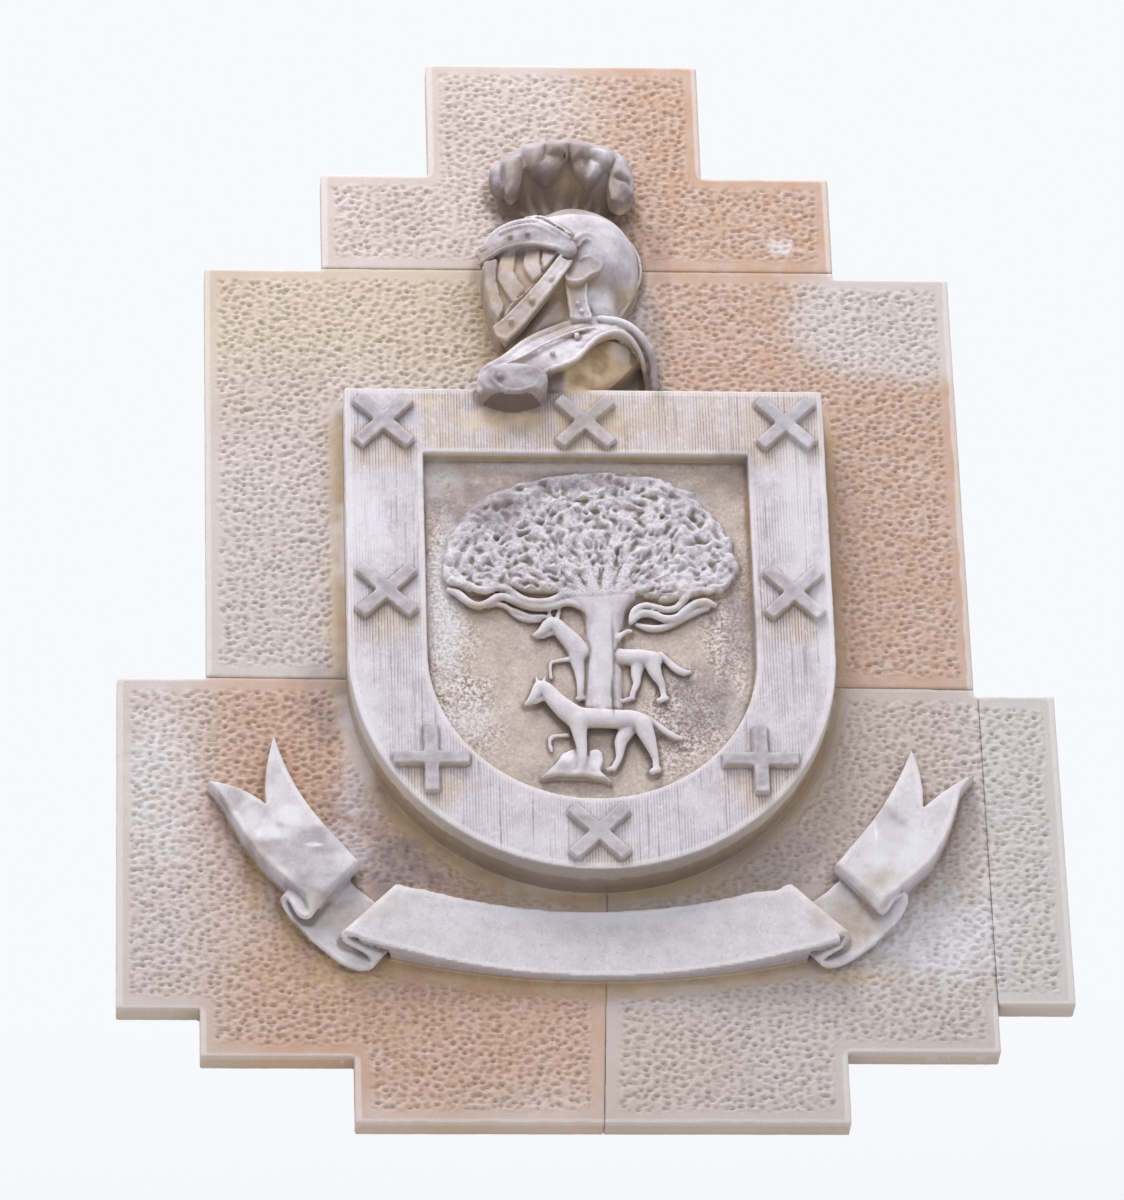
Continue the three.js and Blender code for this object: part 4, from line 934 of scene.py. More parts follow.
def tooled(points, normals):
    """How far each point is worked in or out: pits, comb marks, stipple and wear."""
    x, z, p = points.T
    front = np.clip(normals[:, 2], 0, 1)
    shield_in = shield_distance(x, z)
    out = 0.25 * cloud(x, z + p, 14, 91)
    # the pointed backing, left smooth beside joints, edges and the carving
    edge = np.full(len(points), 1e9)
    for outline in MARGINED:
        d = polygon(outline)(x, z)
        edge = np.where(d > -1.5, np.minimum(edge, np.abs(d)), edge)
    plain = np.minimum(edge, -shield_in)
    plain = np.where(shield_in > 0, -1, plain)
    r = np.hypot(x, z - RIBBON_Z)
    band_gap = np.maximum(np.maximum((r - RIBBON_R) * 0.55, RIBBON_R - r - 90),
                          (np.abs(np.arctan2(x, RIBBON_Z - z)) - RIBBON_END) * 900) + 6
    plain = np.minimum(plain, band_gap)
    on_ground = layer(p, 24, 29, 34.5, 38) * ramp(front, 0.4, 0.8)
    rough = on_ground * ramp(plain + 2.5 * noise(x, z, 25, 92), 15, 21)
    xx = x + 2.0 * noise(x, z, 21, 93)
    zz = z + 2.5 * noise(x, z, 37, 94) + 0.12 * x
    near, own = pits(xx, zz, 12.0, 7.4, 95, 0.8)
    pit = (1 - ramp(near, 0.08, 0.46)) * (0.6 + 0.5 * own)
    lip = np.exp(-((near - 0.55) / 0.12) ** 2)
    near2, own2 = pits(xx + 4, zz, 8.0, 5.2, 96, 0.95)
    pit2 = (1 - ramp(near2, 0.1, 0.5)) * ramp(own2, 0.1, 0.5)
    out += rough * (0.7 + 0.5 * noise(xx, zz, 9, 90) + 0.5 * lip - 2.9 * pit - 1.2 * pit2)
    # comb marks on the border of the shield
    on_border = layer(p, 95, 97, 99, 100.5) * ramp(front, 0.4, 0.8) * ramp(shield_in, 3, 6)
    out += on_border * 0.25 * noise(x * 2, z / 6, 5, 97)
    on_cross = layer(p, 101, 104, 109, 111) * (z < 232) * ramp(-field_distance(x, z), 2, 4) * front
    out += on_cross * (0.5 * noise(x, z, 4.5, 121) + 0.5 * noise(x, z, 9, 122))
    # punched dots on the field, left smooth round the figures
    field_in = field_distance(x, z)
    on_field = layer(p, 74, 76.5, 79.6, 81) * ramp(front, 0.4, 0.8) * ramp(field_in, 1, 4)
    calm = np.hypot((x - 10) / 1.3, (z + 235) / 1.15)
    stipple = on_field * (0.25 + 0.75 * ramp(calm + 14 * noise(x, z, 40, 98), 62, 105))
    near3, own3 = pits(x, z, 4.6, 4.4, 99, 0.95)
    out += stipple * (0.3 - 1.0 * (1 - ramp(near3, 0.1, 0.65)) * (0.3 + own3))
    return out


def closed_back(points, normals, quads):
    """Side faces that run back to the wall from every open edge, and the loop round the flat back."""
    edges = np.concatenate([quads[:, [i, (i + 1) % 4]] for i in range(4)]).astype(np.int64)
    count = len(points)
    low, high = edges.min(1), edges.max(1)
    key, place = np.unique(low * count + high, return_inverse=True)
    net = np.rint(np.bincount(place.ravel(), np.where(edges[:, 0] < edges[:, 1], 1, -1))).astype(int)
    low, high = key // count, key % count
    forward, backward = (np.repeat(np.arange(len(key)), np.maximum(n, 0)) for n in (net, -net))
    open_edges = np.concatenate([np.stack([low[forward], high[forward]], 1),
                                 np.stack([high[backward], low[backward]], 1)])
    rim, ends = np.unique(open_edges, return_inverse=True)
    front = ends.reshape(-1, 2) + count
    ends = front + len(rim)
    back = points[rim].copy()
    back[:, 2] = 0
    sides = np.stack([front[:, 1], front[:, 0], ends[:, 0], ends[:, 1]], 1)
    after = {}
    for a, b in ends.tolist():
        after.setdefault(a, []).append(b)
    longest = []
    for start in list(after):
        loop = [start]
        while after[loop[-1]]:
            loop.append(after[loop[-1]].pop())
        if len(loop) > len(longest):
            longest = loop
    points = np.concatenate([points, points[rim], back])
    quads = np.concatenate([quads, sides])
    side_normals = normals_of(points, sides)[count:]
    return points, np.concatenate([normals, side_normals]), quads, np.array(longest[:-1])


def worked(points, normals):
    points = points + normals * tooled(points, normals)[:, None]
    low = np.array([cad_box[0][0], cad_box[0][2], 0]) * 1000
    high = np.array([cad_box[1][0], cad_box[1][2], -cad_box[0][1]]) * 1000
    return np.clip(points, low + [0.05, 0.05, 0], high - [0.05, 0.05, 0.1])


def mesh_object(name, points, normals, faces, cap=None):
    mesh = bpy.data.meshes.new(name)
    co = np.stack([points[:, 0], -points[:, 2], points[:, 1]], 1) / 1000
    mesh.vertices.add(len(co))
    mesh.vertices.foreach_set("co", co.astype(np.float32).ravel())
    loops = faces.ravel()
    starts = np.arange(0, len(loops), 4)
    if cap is not None:
        starts = np.append(starts, len(loops))
        loops = np.concatenate([loops, cap])
    mesh.loops.add(len(loops))
    mesh.loops.foreach_set("vertex_index", loops.astype(np.int32))
    mesh.polygons.add(len(starts))
    mesh.polygons.foreach_set("loop_start", starts.astype(np.int32))
    mesh.polygons.foreach_set("use_smooth", np.ones(len(starts), bool))
    mesh.update(calc_edges=True)
    mesh.normals_split_custom_set_from_vertices(np.stack([normals[:, 0], -normals[:, 2], normals[:, 1]], 1))
    obj = bpy.data.objects.new(name, mesh)
    bpy.context.scene.collection.objects.link(obj)
    return obj


# Marks of weather, and of painted shade and light, worked out over one grid of heights

CELL = 2.3
MAP_X, MAP_Z = -640.0, -830.0
heights = np.zeros((int(1280 / CELL), int(1660 / CELL)), np.float32)


def cell_of(x, z):
    ix = np.clip(((x - MAP_X) / CELL).astype(int), 0, heights.shape[0] - 1)
    iz = np.clip(((z - MAP_Z) / CELL).astype(int), 0, heights.shape[1] - 1)
    return ix, iz


def sampled(image, x, z):
    u = np.clip((x - MAP_X) / CELL - 0.5, 0, image.shape[0] - 1.001)
    v = np.clip((z - MAP_Z) / CELL - 0.5, 0, image.shape[1] - 1.001)
    ix, iz = u.astype(int), v.astype(int)
    u, v = u - ix, v - iz
    return ((image[ix, iz] * (1 - u) + image[ix + 1, iz] * u) * (1 - v)
            + (image[ix, iz + 1] * (1 - u) + image[ix + 1, iz + 1] * u) * v)


def blurred(image, size):
    for axis in (0, 1):
        total = np.cumsum(np.concatenate([np.repeat(image.take([0], axis), size + 1, axis), image,
                                          np.repeat(image.take([-1], axis), size, axis)], axis), axis)
        span, wide = image.shape[axis], 2 * size + 1
        image = (total.take(range(wide, wide + span), axis) - total.take(range(span), axis)) / wide
    return image


stones = {}
for name in OUTLINES:
    stones[name] = carve(name)
    points = stones[name][0]
    ix, iz = cell_of(points[:, 0], points[:, 1])
    np.maximum.at(heights, (ix, iz), points[:, 2].astype(np.float32))

for shift in (1, -1, 1):
    heights = np.where(heights > 0, heights, np.roll(heights, shift, 1))
soft = blurred(heights, 1)
fine = blurred(blurred(heights, 2), 2)
broad = blurred(blurred(heights, 9), 9)


def most(*values):
    out = values[0]
    for value in values[1:]:
        out = np.maximum(out, value)
    return out


def weather(points, normals):
    """The marks of weather, and of painted shade and light, at each point, for the material."""
    x, z, p = points.T
    front = np.clip(normals[:, 2], 0, 1)
    down = np.clip(-normals[:, 1], 0, 1)
    shield_in, field_in, crown_in, breast_in = (f(x, z) for f in (shield_distance, field_distance, CROWN, BREAST))
    on_backing = p < 36
    near = sampled(soft, x, z) - p
    below = np.hypot(x, z - RIBBON_Z) - RIBBON_R
    ribbon = ramp(-shield_in, 4, 10) * ramp(p, 35, 39) * (z < -300)
    level = (shield_in > 2) * (np.minimum(np.abs(p - SHIELD), np.abs(p - FIELD)) < 1.5)
    rim = (shield_in > -4) & (z < 232) & (shield_in < 12)
    plume = ramp(p, 60, 84) * (z > 500)
    caps = ramp(np.hypot((x + 17) / 98, (z - 545) / 90), 0.76, 0.9)
    crosses = layer(p, 101, 105, 109, 111) * (z < 232) * ramp(-field_in, 2, 4)
    cave = (breast_in > -2) & (np.abs(p - scoop(x, z)) < 9)
    drum = (x < -44) & (x > -142) & (z > 170) & (z < 212) & (p > 97) & (p < 129)
    marks = {}
    shelter = np.full(len(points), -50.0)
    for step in range(3, 40, 3):
        shelter = np.maximum(shelter, sampled(soft, x, z + step * CELL) - p - 0.5 * step * CELL)
    marks["shelter"] = np.clip(0.5 + shelter / 16, 0, 1) * (1 - 0.55 * front - 0.7 * ribbon)
    # painted shade with some dirt: darker where a point lies below the heights around it, paler where it stands above
    # them
    gap = np.minimum(sampled(fine, x, z) - p, np.where(on_backing, 1.5, 3.5))
    less = (0.35 + 0.65 * ramp(front, 0.3, 0.6)) * (1 - 0.7 * ribbon) * (1 - 0.75 * level)
    marks["hollow"] = np.clip(0.5 + np.where(gap > 0, gap * less, gap) / 7, 0, 1)
    leafy = ramp(crown_in, -2, 2)
    # painted shade along narrow creases, and in the gaps of the leaves
    marks["crease_shade"] = most(np.clip(near / 3, 0, 1) * ramp(front, 0.45, 0.75) * ramp(p, 31, 33) * (1 - leafy),
                           0.6 * np.clip(near / 1.4, 0, 1) * leafy * ramp(p, 81, 84))
    # painted shade where a point lies deep below the broad heights around it
    marks["deep"] = np.clip(0.5 + (sampled(broad, x, z) - p) / 50 * (1 - 0.6 * ribbon) * (1 - 0.5 * (level > 0)), 0,
                            1)
    # painted shade on faces turned down
    marks["down"] = down * (1 - 0.8 * ribbon) * (1 - rim)
    marks["ribbon"] = ribbon * ramp(front, 0.5, 0.9)
    beside = (on_backing * (shield_in < 0) * (1 - ramp(6 * noise(x, z, 22, 314) - shield_in, 12, 34))
              * (1 - ramp(z, 205, 245)))
    under_band = (on_backing * (z < -400) * (1 - ramp(below + 5 * noise(x, z, 30, 318), 10, 30)) * ramp(below, -6, 0)
                  * (1 - ramp(np.abs(x), 250, 330)) * (0.7 + 0.3 * noise(x, z, 40, 312)))
    marks["ochre"] = most(beside * np.where(x < 0, 0.45, 0.25), 0.75 * under_band,
                          places(x, z, OCHRE, 317) * on_backing)
    below_crosses = sum(spot(x, z, cx, cz - 36, 46, 34) for cx, cz, turned in CROSSES)
    marks["under"] = np.clip(below_crosses + 0.8 * (z > 139) * (x > -210), 0, 1) * ramp(p, 90, 96)
    marks["carved"] = most(ramp(p, 34.5, 40), ramp(shield_in, -1.5, 1))
    marks["field"] = ramp(field_in, -1, 1) * (1 - ramp(p, 80, 84))
    marks["salmon"], marks["grey"], marks["yellow"] = patches(x, z)
    marks["lichen"] = lichen(x, z, p)
    # dirt on the plume and crosses, and painted shade at some places, such as under the drum and on the tails' folds
    marks["grime_and_shade"] = most(places(x, z, GRIME_AND_SHADE, 301) * (p > 45) + places(x, z, SHADE, 315) * on_backing, 0.62 * plume,
                          0.5 * crosses)
    # pale stone and scratches, and painted light at places that lie in shade, such as the band under the shield
    marks["pale_and_painted_light"] = places(x, z, PALE_AND_PAINTED_LIGHT, 303) * (0.6 + 0.4 * front)
    marks["brown"] = places(x, z, BROWN, 305) * ((p < 85) | cave)
    # tan stone, and painted light in the right part of the hollow under the collar
    marks["warm"] = most(places(x, z, WARM, 307) * (1 - plume) * (p < 114) * ((z > -400) | (p < 45)),
                         cave * ramp(x, -30, -18))
    # painted shade: the drum's sides, the hollow under the collar, under the plume and in its fan, undersides along
    # the shield and the band, and a line in the trunk
    inside = 0.6 * (breast_in > -2)
    marks["dark"] = most(
        places(x, z, PAINTED_SHADE, 309) * (1 - plume), 0.9 * drum * (1 - ramp(front, 0.5, 0.8)),
        inside * (p < scoop(x, z) + 9) * (1 - ramp(x, -34, -20)) * (p < 112), inside * (p < 60) * (x > 6),
        0.5 * plume * ramp(down, 0.3, 0.9),
        0.62 * ramp(FAN(x, z), -6, 0) * (p < 83) * ramp(np.hypot((x + 19) / 1.5, z - 520), 20, 48)
        * (1 - 0.45 * ramp(z, 565, 590)),
        0.5 * rim * (1 - ramp(front, 0.3, 0.6)) * ramp(down, 0.6, 1.0),
        0.35 * (np.abs(below + 2) < 6) * (p > 34) * (p < 66) * (down > 0.5) * (z < -400))
    below_shield = (z > -400) | (p < 45) | (shield_in < -8)
    marks["beige"] = most(places(x, z, BEIGE, 313) * (1 - plume) * below_shield, 0.85 * plume * (1 - caps))
    marks["comb"] = layer(p, 95, 97, 99.5, 101) * front * ramp(shield_in, 2, 4) * ramp(-field_in, 1, 3)
    marks["stipple"] = marks["field"] * (0.12 + 0.88 * places(x, z, STIPPLE, 311)) * (1 - ramp(p, 79.6, 81.5))
    marks["leaves"] = ramp(crown_in, -3, 3) * ramp(p, 82, 86)
    return marks


# Places (x, z, half width, half height, strength): dirty with painted shade, shaded, pale with painted light, brown,
# beige, tan, ochre, painted shade, and punched
GRIME_AND_SHADE = [(-346, -413, 34, 24, 0.6), (344, -411, 26, 30, 0.35), (-78, -127, 56, 50, 0.15), (-374, -426, 40, 30, 0.4),
         (-428, -369, 20, 16, 0.3), (-104, 561, 16, 20, 0.9), (69, 555, 16, 24, 0.95), (-40, 583, 20, 16, 0.9),
         (-457, -352, 18, 18, 0.5), (-415, -314, 10, 26, 0.3), (-392, -418, 40, 10, 0.4), (-117, 430, 12, 30, 0.7),
         (13, 421, 22, 34, 0.45), (-362, -454, 34, 26, 0.4), (-405, -404, 16, 26, 0.4), (368, -397, 22, 34, 0.7),
         (194, 116, 30, 30, 0.45), (136, -220, 30, 30, 0.3), (1, 182, 18, 14, 0.4), (-90, 212, 50, 12, 0.8),
         (137, -198, 24, 24, 0.2), (-94, 239, 56, 30, 0.75), (94, 281, 16, 48, 0.6), (-65, 336, 44, 46, 0.2),
         (-74, 454, 50, 20, 0.8), (-350, -476, 60, 16, 0.55), (-138, 72, 66, 40, 0.7), (-21, 106, 100, 16, 0.7),
         (134, 82, 40, 20, 0.5), (-52, 215, 22, 14, 0.5), (-6, 438, 22, 22, 0.75), (29, 405, 34, 20, 0.5),
         (-59, -120, 16, 8, 0.2), (54, 377, 10, 36, 0.35), (94, 407, 10, 50, 0.3), (28, 484, 40, 12, 0.3),
         (142, -216, 44, 50, 0.6), (192, -110, 20, 60, 0.5), (20, -210, 60, 8, 0.3), (-46, -320, 50, 14, 0.3),
         (11, -133, 10, 60, 0.15)]
SHADE = [(-326, -191, 44, 60, 0.5), (-266, -432, 60, 44, 0.75), (-309, -364, 40, 60, 0.5), (-90, 547, 20, 30, 0.3),
         (102, 354, 18, 60, 0.3), (114, 487, 14, 60, 0.25), (208, -419, 60, 40, 0.3)]
PALE_AND_PAINTED_LIGHT = [(130, -13, 44, 70, 0.2), (15, 8, 120, 40, 0.2), (121, 77, 40, 20, 0.25), (-326, -478, 34, 12, 0.4),
         (53, 353, 14, 18, 0.6), (-188, 117, 30, 20, 0.4), (-157, -244, 30, 24, 0.3), (42, 499, 30, 14, 0.35),
         (-46, -456, 60, 14, 0.25), (33, 586, 16, 22, 0.6), (51, 313, 14, 12, 0.5), (-13, 538, 20, 8, 0.3),
         (2, -507, 170, 16, 0.35), (-3, -420, 110, 16, 0.15), (32, 587, 14, 12, 0.5), (-100, 302, 30, 16, 0.3),
         (-45, -431, 90, 14, 0.2), (53, 352, 20, 16, 0.3), (109, -30, 26, 24, 0.5), (-414, -402, 24, 14, 0.9),
         (-388, -375, 16, 16, 0.7), (-433, -386, 10, 18, 0.6), (-358, -420, 11, 2.6, 1), (369, -418, 46, 34, 0.6),
         (353, -404, 1.4, 24, 1), (-553, -249, 1.4, 16, 0.9), (274, 500, 18, 11, 0.6), (28, 379, 24, 12, 0.9),
         (-36, -303, 9, 9, 0.7), (2, -303, 9, 14, 0.7), (10, -164, 14, 80, 0.3), (180, -242, 10, 40, 0.2),
         (-185, -69, 22, 110, 0.5), (-297, -270, 26, 90, 0.45), (-312, -399, 30, 30, 0.4), (275, 72, 22, 120, 0.4),
         (299, -106, 14, 90, 0.5), (-97, 255, 26, 8, 0.5), (424, -524, 80, 60, 0.6), (-293, 37, 34, 60, 0.5),
         (-548, -308, 40, 120, 0.35), (78, 349, 20, 10, 0.5), (26, 349, 44, 10, 0.6), (-29, 301, 34, 8, 0.5),
         (2, -508, 150, 12, 0.5), (-194, 110, 20, 30, 0.3), (-6, 130, 120, 8, 0.3)]
BROWN = [(23, 284, 12, 16, 0.6), (6, 250, 20, 14, 0.5), (31, 308, 10, 16, 0.55), (22, 278, 6, 8, 0.6),
         (214, 53, 10, 60, 0.6), (204, -66, 8, 50, 0.4), (-429, -425, 16, 40, 0.35), (181, 98, 40, 16, 0.3)]
BEIGE = [(-351, -491, 24, 20, 0.35), (357, -467, 26, 20, 0.5), (325, -512, 30, 30, 0.7), (-309, -501, 34, 24, 0.4),
         (-98, 395, 52, 62, 0.75), (-121, 411, 16, 50, 0.85), (-67, 365, 26, 46, 0.6), (13, 408, 26, 20, 0.35),
         (-26, 355, 22, 34, 0.6), (68, -448, 140, 26, 0.75), (-46, -456, 120, 26, 0.6), (-98, 321, 40, 20, 0.8),
         (-115, -86, 60, 12, 0.5), (116, -70, 40, 14, 0.4), (-311, -505, 50, 30, 0.3), (317, -509, 50, 34, 0.5),
         (-201, 110, 20, 30, 0.2), (1, 182, 40, 40, 0.4)]
WARM = [(-32, 591, 60, 26, 0.35), (-64, 431, 46, 12, 0.4), (-103, 192, 52, 20, 0.75), (-212, 215, 30, 8, 0.4),
        (20, 190, 60, 24, 0.3), (-34, -456, 90, 14, 0.5), (-26, 375, 24, 24, 0.3), (-98, 321, 40, 16, 0.4),
        (-222, -421, 60, 20, 0.3)]
OCHRE = [(-312, -589, 52, 8, 0.75), (-347, -566, 24, 8, 0.6), (-429, -439, 8, 50, 0.55), (-386, -514, 12, 30, 0.5),
         (314, -586, 46, 8, 0.5)]
PAINTED_SHADE = [(-90, 563, 24, 14, 0.6), (43, 571, 22, 20, 0.6), (-18, 589, 60, 12, 0.3), (24, -217, 2.4, 28, 0.8),
        (27, -130, 2, 34, 0.5)]
STIPPLE = [(-188, -69, 20, 150, 1), (-175, -215, 50, 50, 0.9), (-145, -266, 30, 26, 0.6), (123, -235, 50, 60, 1),
           (171, -140, 30, 70, 0.8), (200, -51, 14, 60, 0.5), (101, -300, 40, 26, 0.6), (-174, -128, 26, 60, 0.6)]


def places(x, z, rows, seed):
    out = np.zeros(len(x))
    ragged = 1 + 0.5 * cloud(x, z, 16, seed, 3)
    for cx, cz, rx, rz, k in rows:
        out = np.maximum(out, k * spot(x, z, cx, cz, rx * ragged, rz * ragged))
    return out


def spot(x, z, cx, cz, rx, rz, soft=0.5):
    """1 in the middle of an oval, 0 outside it."""
    d = np.hypot((x - cx) / rx, (z - cz) / rz)
    return 1 - ramp(d, 1 - soft, 1 + soft)


def patches(x, z):
    """Where the backing is salmon, greyish and yellowish."""
    drift = 28 * cloud(x, z, 120, 201, 3)
    xs, zs = x + drift, z + 22 * cloud(x, z, 110, 207, 3)
    crest = (z > UPPER_JOINT)
    lower = z < long_joint(x)
    right = x > centre_joint(z)
    end = ramp(x + 0.1 * (z + 400) + 14 * cloud(x, z, 60, 215), 470, 510) * lower
    salmon = np.zeros(len(x))
    salmon += crest * (0.1 + 0.8 * ramp(xs, -60, 110))
    middle = ~crest & ~lower
    salmon += middle * np.maximum(0.85 * ramp(xs, 90, 130) * (1 - spot(xs, zs, 430, 400, 150, 110, 0.25)), 0.05)
    salmon += lower * (1 - right) * (0.1 + 0.85 * spot(xs, zs, -380, -260, 170, 120) + 0.8
                                     * spot(xs, zs, -250, -650, 330, 110)
                                     + 0.5 * spot(xs, zs, -300, -480, 160, 160))
    salmon += lower * right * (1 - end) * (0.3 * spot(xs, zs, 60, -700, 110, 90) + 0.35
                                           * spot(xs, zs, 300, -300, 200, 160))
    grey = np.zeros(len(x))
    grey += middle * (0.7 * spot(xs, zs, 430, 400, 150, 110, 0.25) + 0.7 * (x < 0) * (1 - ramp(zs, 60, 330)))
    grey += lower * (1 - right) * 0.9 * (1 - ramp(xs, -560, -420))
    grey += lower * right * (0.5 + 0.35 * end)
    yellow = 0.45 * middle * (x < 0) * ramp(zs, 160, 380) + crest * 0.1 * (x > 0)
    return np.clip(salmon, 0, 1), np.clip(grey, 0, 1), np.clip(yellow, 0, 1)


def lichen(x, z, p):
    crown_top = ramp(-np.abs(CROWN(x, z) - 8) + 9, 0, 8) * ramp(z, 10, 60) * ramp(p, 84, 90)
    upper = sum(spot(x, z, cx, cz + 22, 48, 30) for cx, cz, turned in CROSSES if cz > 100) * ramp(p, 101, 105)
    return np.clip((0.5 * crown_top + 0.3 * upper) * (0.5 + 0.8 * cloud(x, z, 22, 211)), 0, 1)


# Stone, from its marks

COMB_PITCH = 0.0038


def linear(red, green, blue):
    return tuple(((c / 255) / 12.92 if c / 255 <= 0.04045 else ((c / 255 + 0.055) / 1.055) ** 2.4)
                 for c in (red, green, blue)) + (1.0,)


class Nodes:
    """Short names for the nodes of one material."""

    def __init__(self, name):
        self.material = bpy.data.materials.new(name)
        self.material.use_nodes = True
        self.tree = self.material.node_tree
        self.tree.nodes.clear()
        self.place = self.add("ShaderNodeTexCoord").outputs["Object"]

    def add(self, kind):
        return self.tree.nodes.new(kind)

    def set(self, socket, value):
        if hasattr(value, "is_linked"):
            self.tree.links.new(value, socket)
        else:
            socket.default_value = value

    def mark(self, name):
        node = self.add("ShaderNodeAttribute")
        node.attribute_name = name
        return node.outputs["Fac"]

    def noise(self, scale, detail=3.0, rough=0.55, stretch=None):
        node = self.add("ShaderNodeTexNoise")
        place = self.place
        if stretch:
            mapping = self.add("ShaderNodeMapping")
            self.set(mapping.inputs["Vector"], place)
            mapping.inputs["Scale"].default_value = stretch
            place = mapping.outputs["Vector"]
        self.set(node.inputs["Vector"], place)
        node.inputs["Scale"].default_value = scale
        node.inputs["Detail"].default_value = detail
        node.inputs["Roughness"].default_value = rough
        return node.outputs["Fac"]

    def math(self, kind, a, b=0.0, clamp=False):
        node = self.add("ShaderNodeMath")
        node.operation = kind
        node.use_clamp = clamp
        self.set(node.inputs[0], a)
        self.set(node.inputs[1], b)
        return node.outputs[0]

    def band(self, value, low, high, to_low=0.0, to_high=1.0):
        node = self.add("ShaderNodeMapRange")
        node.interpolation_type = "SMOOTHSTEP"
        for socket, number in zip(list(node.inputs)[:5], (value, low, high, to_low, to_high)):
            self.set(socket, number)
        return node.outputs[0]

    def mix(self, share, a, b, kind="MIX"):
        node = self.add("ShaderNodeMix")
        node.data_type = "RGBA"
        node.blend_type = kind
        self.set(node.inputs["Factor"], share)
        self.set(node.inputs[6], a)
        self.set(node.inputs[7], b)
        return node.outputs[2]


